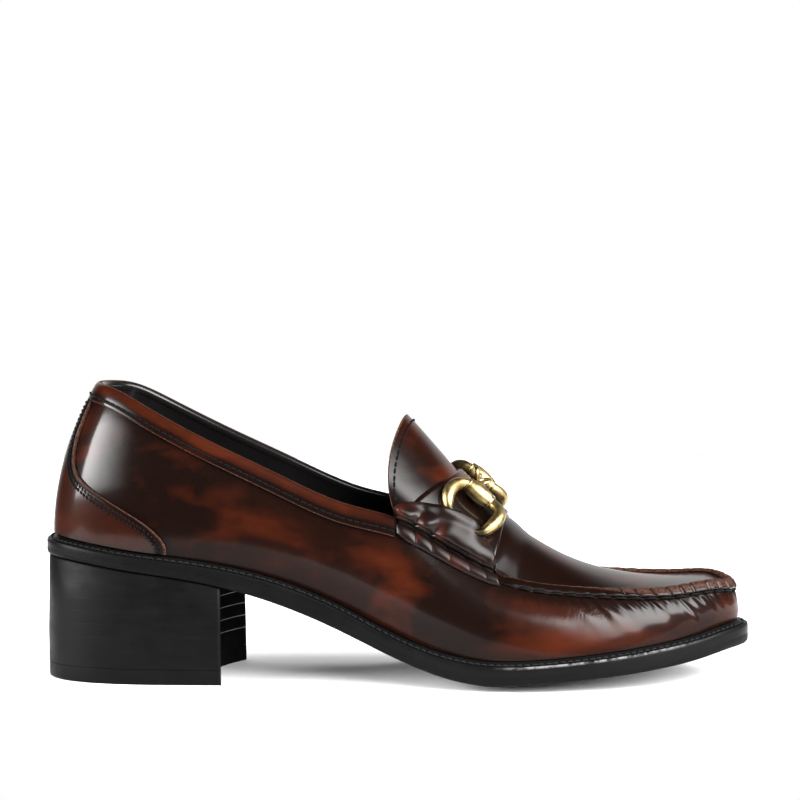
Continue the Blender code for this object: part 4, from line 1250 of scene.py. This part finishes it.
def build_tab(settings, side):
    """Folded tab: a pad that holds the ring, drawn in by the seam, with a lip on the wall."""
    keys = np.linspace(0, len(TAB_SHAPE["section"]) - 1, 400)
    sections, shares = (spline(TAB_SHAPE[k])(keys) for k in ("section", "share"))
    t = np.linspace(0, 1, int(TAB_ROWS * settings.fine))
    places = mix(TAB_FROM + 0.002, TAB_TO - 0.002,
                 mix(t, 0.5 - 0.5 * np.cos(math.pi * t), 0.6))
    rows = [tab_section(u, TAB_TOP_MM * np.interp(u, sections, shares), side) for u in places]
    points, dark, rub = (np.array(a) for a in zip(*rows))
    sheets = [Sheet(points, 0, dark=dark, rub=rub)]
    for end in (points[0], points[-1]):
        centre = end.mean(0)
        rings = [centre + (end - centre) * f for f in (1.0, 0.6, 0.02)]
        sheets.append(Sheet(np.stack(rings, axis=1), 0, dark=0.6))
    word = side_word(side)
    add_mesh("tab_skin_" + word, sheets, "tab", ["tab_" + word])
    sheets = []
    holes = [7.06] + [row[0] for row in TAB_FOLDS] + [8.76]
    for first, last in zip(holes[:-1], holes[1:]):
        path, normals = [], []
        for u in np.linspace(first, last, 24):
            base, normal = skin_line(on_side(side, u), [-0.00075])
            bow = math.sin(math.pi * (u - first) / (last - first))
            path.append(base[0] + normal[0] * (0.0006 + 0.0009 * bow))
            normals.append(normal[0])
        sheets.append(Sheet(tube_grid(path, 0.00052, 10, closed=False, normal=normals[0])))
    add_mesh("tab_stitches_" + word, sheets, "thread")


def build_welt(settings):
    """Welt with a wheeled groove for its stitches, and a painted highlight along its top edge by
    the ball.
    """
    u = np.linspace(0, RING, int(WELT_COLUMNS * settings.fine), endpoint=False)
    run_mm = distance_along(outline(u)) * 1000
    wheel = 0.5 + 0.5 * np.cos(2 * math.pi * run_mm / (run_mm[-1] / round(run_mm[-1] / 2.6)))
    rows = []
    for inset, share, bevel in WELT_PROFILE:
        p = outline(u, inset / 1000)
        x = p[:, 0]
        p[:, 2] = mix(outsole_top(x) + GAP, welt_edge(x), share) + WELT_BEVEL * bevel
        if 0.9 < inset < 2.7:
            p[:, 2] -= 0.00025 + 0.00018 * wheel
        rows.append(p)
    grid = np.stack(rows + [rows[0]], axis=1)
    worn = np.zeros(grid.shape[:2])
    x = grid[:, 0, 0]
    # Painted highlight on the welt's top edge by the ball, on the lateral side only
    worn[:, 5:7] = (step(0.135, 0.150, x) * fade(0.190, 0.212, x) * (u < SECTIONS))[:, None]
    add_mesh("welt_skin", [Sheet(grid, 0, wrap=True, worn=worn)], "welt", ["welt"])
    p = outline(u, WELT_STITCH_INSET)
    p[:, 2] = welt_edge(p[:, 0]) + WELT_BEVEL * 0.40 - 0.0002
    normals = unit(UP - 0.4 * plan_normal(OUTLINE_X, OUTLINE_Y, np.append(u, RING)))
    sheets = stitch_sheets(np.vstack([p, p[:1]]), normals, WELT_STITCH, 50)
    add_mesh("welt_stitches", sheets, "thread_light")


def plate_sheets(last, lower, upper, profile, slots, grid):
    """Plate under the foot back of ring place last; slots are those of its tread, rest, breast."""
    t = np.linspace(0, 1, grid[0])
    whole = last >= SECTIONS
    u = last * (mix(0.5 - 0.5 * np.cos(math.pi * t), t, 0.5) if whole else t)
    across = np.linspace(-1, 1, grid[1])[None]
    layers = []
    for inset, share in profile:
        a = outline(u, inset)
        p = a[:, None] + (outline(-u, inset) - a)[:, None] * ((across.T + 1) / 2)[None]
        if not whole:
            p[..., 0] -= BREAST_CURVE * (1 - across ** 2) * (u / last)[:, None] ** 2
        p[..., 2] = mix(lower(p[..., 0], across), upper(p[..., 0], across), share)
        layers.append(p)
    sheets = [Sheet(layers[0], slots[0]), Sheet(layers[-1], slots[1]),
              Sheet(np.stack([q[:, 0] for q in layers], axis=1), slots[1]),
              Sheet(np.stack([q[::-1, -1] for q in layers], axis=1), slots[1])]
    if not whole:
        sheets.append(Sheet(np.stack([q[-1] for q in layers], axis=1), slots[2]))
    return sheets


def build_sole():
    """Outsole with its tread, and the insole."""
    sheets = plate_sheets(SECTIONS, tread, lambda x, a: outsole_top(x) + 0.0002, OUTSOLE_EDGE,
                          (1, 0), OUTSOLE_GRID)
    add_mesh("outsole_skin", sheets, "sole tread", ["outsole"], weld=True)
    sheets = plate_sheets(SECTIONS, lambda x, a: outsole_top(x) + GAP,
                          lambda x, a: welt_edge(x) + WELT_BEVEL + INSOLE_RISE, INSOLE_EDGE,
                          (1, 0), INSOLE_GRID)
    add_mesh("insole_skin", sheets, "lining lining", ["insole"], weld=True)


def build_heel():
    """Heel block and top lift, both with a concave breast."""
    last = float(np.interp(BREAST_X, SAMPLE_X, SAMPLES))
    sheets = plate_sheets(last, lambda x, a: LIFT_HEIGHT + GAP, lambda x, a: tread(x, a) - GAP,
                          HEEL_EDGE, (0, 0, 1), HEEL_GRID)
    add_mesh("heel_skin", sheets, "heel breast", ["heel"], weld=True)
    sheets = plate_sheets(last, lambda x, a: 0.0, lambda x, a: LIFT_HEIGHT + 0.0002, LIFT_EDGE,
                          (0, 0, 1), HEEL_GRID)
    add_mesh("top_lift_skin", sheets, "rubber breast", ["top_lift"], weld=True)


def ring_centre_line(side, back):
    """Centre line and radii of a ring's wire, moved back along the instep."""
    keys = {name: spline(values, closed=True) for name, values in RING_LINE.items()}
    t = np.linspace(0, len(RING_LINE["section"]), WIRE_COLUMNS, endpoint=False)
    u, w = keys["section"](t) - back, keys["across"](t)
    w = w if side < 0 else 1 - w
    return arch_point(u, w) + arch_normal(u, w) * keys["lift"](t)[:, None], \
        RING_WIRE * keys["wire"](t)


def build_bit(side):
    """Half of the bit: a ring with its barrel and collars, an arm, and the eye at its end."""
    back = 0.0 if side < 0 else MEDIAL_BIT_BACK
    points, radii = ring_centre_line(side, back)
    mirror, _ = ring_centre_line(-side, back)
    turn = np.linspace(0, 2 * math.pi, len(points), endpoint=False)
    # Painted shadow on the ring's thin arc where it lies under the tab
    under_tab_shadow = fade(0.62, 0.9, radii / radii.max()) * step(0.8, 1.2, math.pi - np.abs(turn - math.pi))
    wire = tube_grid(points, radii * (1.16 + 0.06 * np.cos(turn)), 24)
    sheets = [Sheet(wire, 0, wrap=True, dark=under_tab_shadow[:, None])]
    barrel = points[0]
    slope = unit(points[6] - points[-6])
    rise = unit(np.cross(slope, unit(mirror[0] - barrel)))
    across = np.cross(rise, slope)
    angle = np.linspace(0, 2 * math.pi, 41)
    rows = [ring_points(barrel + slope * along / 1000, across, rise, radius / 1000, angle)
            for along, radius, _ in BARREL]
    # Painted shade on the barrel's end faces and in its grooves, partly patina
    sheets.append(Sheet(np.array(rows), 0, dark=np.array(BARREL)[:, 2:]))
    for along in (-COLLAR_AT_MM, COLLAR_AT_MM):
        circle = ring_points(barrel + slope * along / 1000, across, rise, 0.0014, angle[:-1])
        sheets.append(Sheet(tube_grid(circle, 0.0005, 12), 0, wrap=True, dark=0.5))
    hub = np.array(8.16 - back), np.array(0.5)
    centre = arch_point(*hub) + arch_normal(*hub) * EYE_LIFT
    toward = unit(centre - barrel)
    eye = centre - toward * (EYE_RADIUS - EYE_WIRE - GAP)
    circle = ring_points(eye, toward, unit(slope + rise), EYE_RADIUS,
                         np.linspace(0, 2 * math.pi, 48, endpoint=False))
    sheets.append(Sheet(tube_grid(circle, EYE_WIRE, 16), 0, wrap=True))
    t = np.linspace(0, 1, 24)
    arm = barrel + (eye - toward * (EYE_RADIUS - 0.0002) - barrel) * t[:, None]
    thick = np.interp(t, ARM["along"], ARM["radius_mm"]) / 1000
    sheets.append(Sheet(tube_grid(arm, thick, 20, closed=False, normal=rise), 0, dark=0.25))
    word = side_word(side)
    add_mesh("bit_skin_" + word, sheets, "brass", ["bit_" + word])


def area_light(name, location, target, size, fades, power):
    """Softbox whose edges fall off to dark by the shares in fades."""
    data = bpy.data.lights.new(name, "AREA")
    data.shape = "RECTANGLE"
    data.size, data.size_y = size
    data.energy = power
    if fades:
        m = Nodes(data, "Emission")
        split = m.node("SeparateXYZ", {0: m.node("NewGeometry").outputs["Parametric"]})
        strength = None
        for axis, near, share in zip("XXYY", (0, 1, 0, 1), fades):
            fall = m.ramp(split.outputs[axis], near, abs(near - share))
            strength = fall if strength is None else m.times(strength, fall)
        m.link("Strength", strength)
    obj = bpy.data.objects.new(name, data)
    obj.location = location
    bpy.context.scene.collection.objects.link(obj)
    back = unit(np.array(location) - np.array(target))
    obj.rotation_euler = Vector(back).to_track_quat("Z", "Y").to_euler()
    return obj


def build_camera(settings):
    az, el, roll = (math.radians(a) for a in (settings.azimuth, settings.elevation, settings.roll))
    back = np.array([math.sin(az) * math.cos(el), -math.cos(az) * math.cos(el), math.sin(el)])
    place = np.array([settings.target_x, 0.0, settings.target_z]) + back * settings.distance
    right = unit(np.cross(-back, UP))
    up = np.cross(right, -back)
    sideways = right * math.cos(roll) + up * math.sin(roll)
    upright = -right * math.sin(roll) + up * math.cos(roll)
    data = bpy.data.cameras.new("camera")
    data.sensor_width = 36.0
    data.lens = settings.lens
    data.clip_start = 0.05
    data.clip_end = 60.0
    camera = bpy.data.objects.new("camera", data)
    rows = np.stack([sideways, upright, back, place], axis=1).tolist()
    camera.matrix_world = Matrix(rows + [[0, 0, 0, 1]])
    bpy.context.scene.collection.objects.link(camera)
    bpy.context.scene.camera = camera


def build_world():
    """White to the camera; reflections show a window behind the shoe and a dark room in front."""
    world = bpy.data.worlds.new("studio")
    bpy.context.scene.world = world
    m = Nodes(world, "Background")
    split = m.node("SeparateXYZ", {0: m.node("TexCoord").outputs["Generated"]})
    back, height, side = (m.ramp(split.outputs[axis], *numbers) for axis, *numbers in WINDOW)
    window = m.times(m.times(back, height), side)
    seen = m.node("LightPath").outputs["Is Camera Ray"]
    m.link("Strength", m.node("Mix", {0: seen, 2: window, 3: 1.0}).outputs[0])
    m.link("Color", (1.0, 1.0, 1.0))


def build_stage(settings):
    scene = bpy.context.scene
    scene.view_settings.view_transform = "Standard"
    scene.view_settings.look = "None"
    mesh = bpy.data.meshes.new("floor")
    left, right, near, far = FLOOR
    corners = [(left, near, 0), (right, near, 0), (right, far, 0), (left, far, 0)]
    mesh.from_pydata(corners, [], [(0, 1, 2, 3)])
    mesh.materials.append(floor_material("pale_floor"))
    obj = bpy.data.objects.new("floor", mesh)
    scene.collection.objects.link(obj)
    powers = (settings.top_power, settings.toe_power, settings.heel_power)
    top, _, _ = [area_light(*light, power) for light, power in zip(LIGHTS, powers)]
    top.visible_glossy = False
    build_world()
    build_camera(settings)


class LOAFER_settings(bpy.types.PropertyGroup):
    # The dark dye also colours the painted shade under the seam, in creases and folds and at the
    # foot
    dark_colour: FloatVectorProperty(
        name="Dark dye", description="Leather where the dye is left",
        subtype="COLOR", default=(0.0038, 0.0014, 0.0009), min=0, max=1)
    red_colour: FloatVectorProperty(
        name="Rubbed leather", description="Leather where the dye was rubbed away",
        subtype="COLOR", default=(0.031, 0.0056, 0.0018), min=0, max=1)
    fine: FloatProperty(
        name="Fineness", description="Share of the full grid", default=1.0, min=0.2, max=1.2)
    azimuth: FloatProperty(
        name="Camera azimuth", description="Degrees from the lateral side", default=6.3)
    elevation: FloatProperty(
        name="Camera elevation", description="Degrees above the floor", default=4.7)
    roll: FloatProperty(name="Camera roll", description="Degrees", default=-0.7)
    distance: FloatProperty(
        name="Camera distance", description="Metres", default=1.2, unit="LENGTH")
    lens: FloatProperty(name="Lens", description="Millimetres on a 36 mm sensor", default=145.44)
    target_x: FloatProperty(name="Aim along", description="Metres", default=0.0983, unit="LENGTH")
    target_z: FloatProperty(name="Aim height", description="Metres", default=0.1024, unit="LENGTH")
    top_power: FloatProperty(name="Top light", description="Watts", default=48.0)
    toe_power: FloatProperty(name="Toe light", description="Watts", default=178.0)
    heel_power: FloatProperty(name="Heel light", description="Watts", default=110.0)


class LOAFER_OT_materials(bpy.types.Operator):
    """Make the leather, thread, brass and sole finishes"""
    bl_idname = "loafer.materials"
    bl_label = "Materials"

    def execute(self, context):
        make_materials(context.scene.loafer)
        return {"FINISHED"}


class LOAFER_OT_upper(bpy.types.Operator):
    """Build the upper with its raised seam, creases and stitches"""
    bl_idname = "loafer.upper"
    bl_label = "Upper"

    def execute(self, context):
        build_upper(context.scene.loafer)
        build_upper_stitches()
        return {"FINISHED"}


class LOAFER_OT_overlays(bpy.types.Operator):
    """Build the collar band, heel counter, saddle and tabs"""
    bl_idname = "loafer.overlays"
    bl_label = "Overlays"

    def execute(self, context):
        build_band(context.scene.loafer)
        build_counter(context.scene.loafer)
        build_saddle(context.scene.loafer)
        for side in (-1, 1):
            build_tab(context.scene.loafer, side)
        return {"FINISHED"}


class LOAFER_OT_bottom(bpy.types.Operator):
    """Build the welt, outsole, insole, heel and top lift"""
    bl_idname = "loafer.bottom"
    bl_label = "Bottom"

    def execute(self, context):
        build_welt(context.scene.loafer)
        build_sole()
        build_heel()
        return {"FINISHED"}


class LOAFER_OT_bit(bpy.types.Operator):
    """Build the two halves of the bit"""
    bl_idname = "loafer.bit"
    bl_label = "Bit"

    def execute(self, context):
        for side in (-1, 1):
            build_bit(side)
        return {"FINISHED"}


class LOAFER_OT_stage(bpy.types.Operator):
    """Set the floor, the lights and the camera"""
    bl_idname = "loafer.stage"
    bl_label = "Stage"

    def execute(self, context):
        build_stage(context.scene.loafer)
        return {"FINISHED"}


class LOAFER_PT_panel(bpy.types.Panel):
    bl_label = "Loafer pump"
    bl_space_type = "VIEW_3D"
    bl_region_type = "UI"
    bl_category = "Loafer"

    def draw(self, context):
        for name in ("dark_colour", "red_colour", "fine", "top_power", "toe_power", "heel_power"):
            self.layout.prop(context.scene.loafer, name)
        for operator in STEPS:
            self.layout.operator(operator.bl_idname)


STEPS = (LOAFER_OT_materials, LOAFER_OT_upper, LOAFER_OT_overlays, LOAFER_OT_bottom, LOAFER_OT_bit,
         LOAFER_OT_stage)
CLASSES = (LOAFER_settings,) + STEPS + (LOAFER_PT_panel,)


def register():
    for cls in CLASSES:
        bpy.utils.register_class(cls)
    bpy.types.Scene.loafer = PointerProperty(type=LOAFER_settings)


def unregister():
    del bpy.types.Scene.loafer
    for cls in reversed(CLASSES):
        bpy.utils.unregister_class(cls)


def main():
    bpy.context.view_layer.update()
    register()
    bpy.ops.loafer.materials()
    bpy.ops.loafer.upper()
    bpy.ops.loafer.overlays()
    bpy.ops.loafer.bottom()
    bpy.ops.loafer.bit()
    bpy.ops.loafer.stage()


if __name__ == "__main__":
    main()
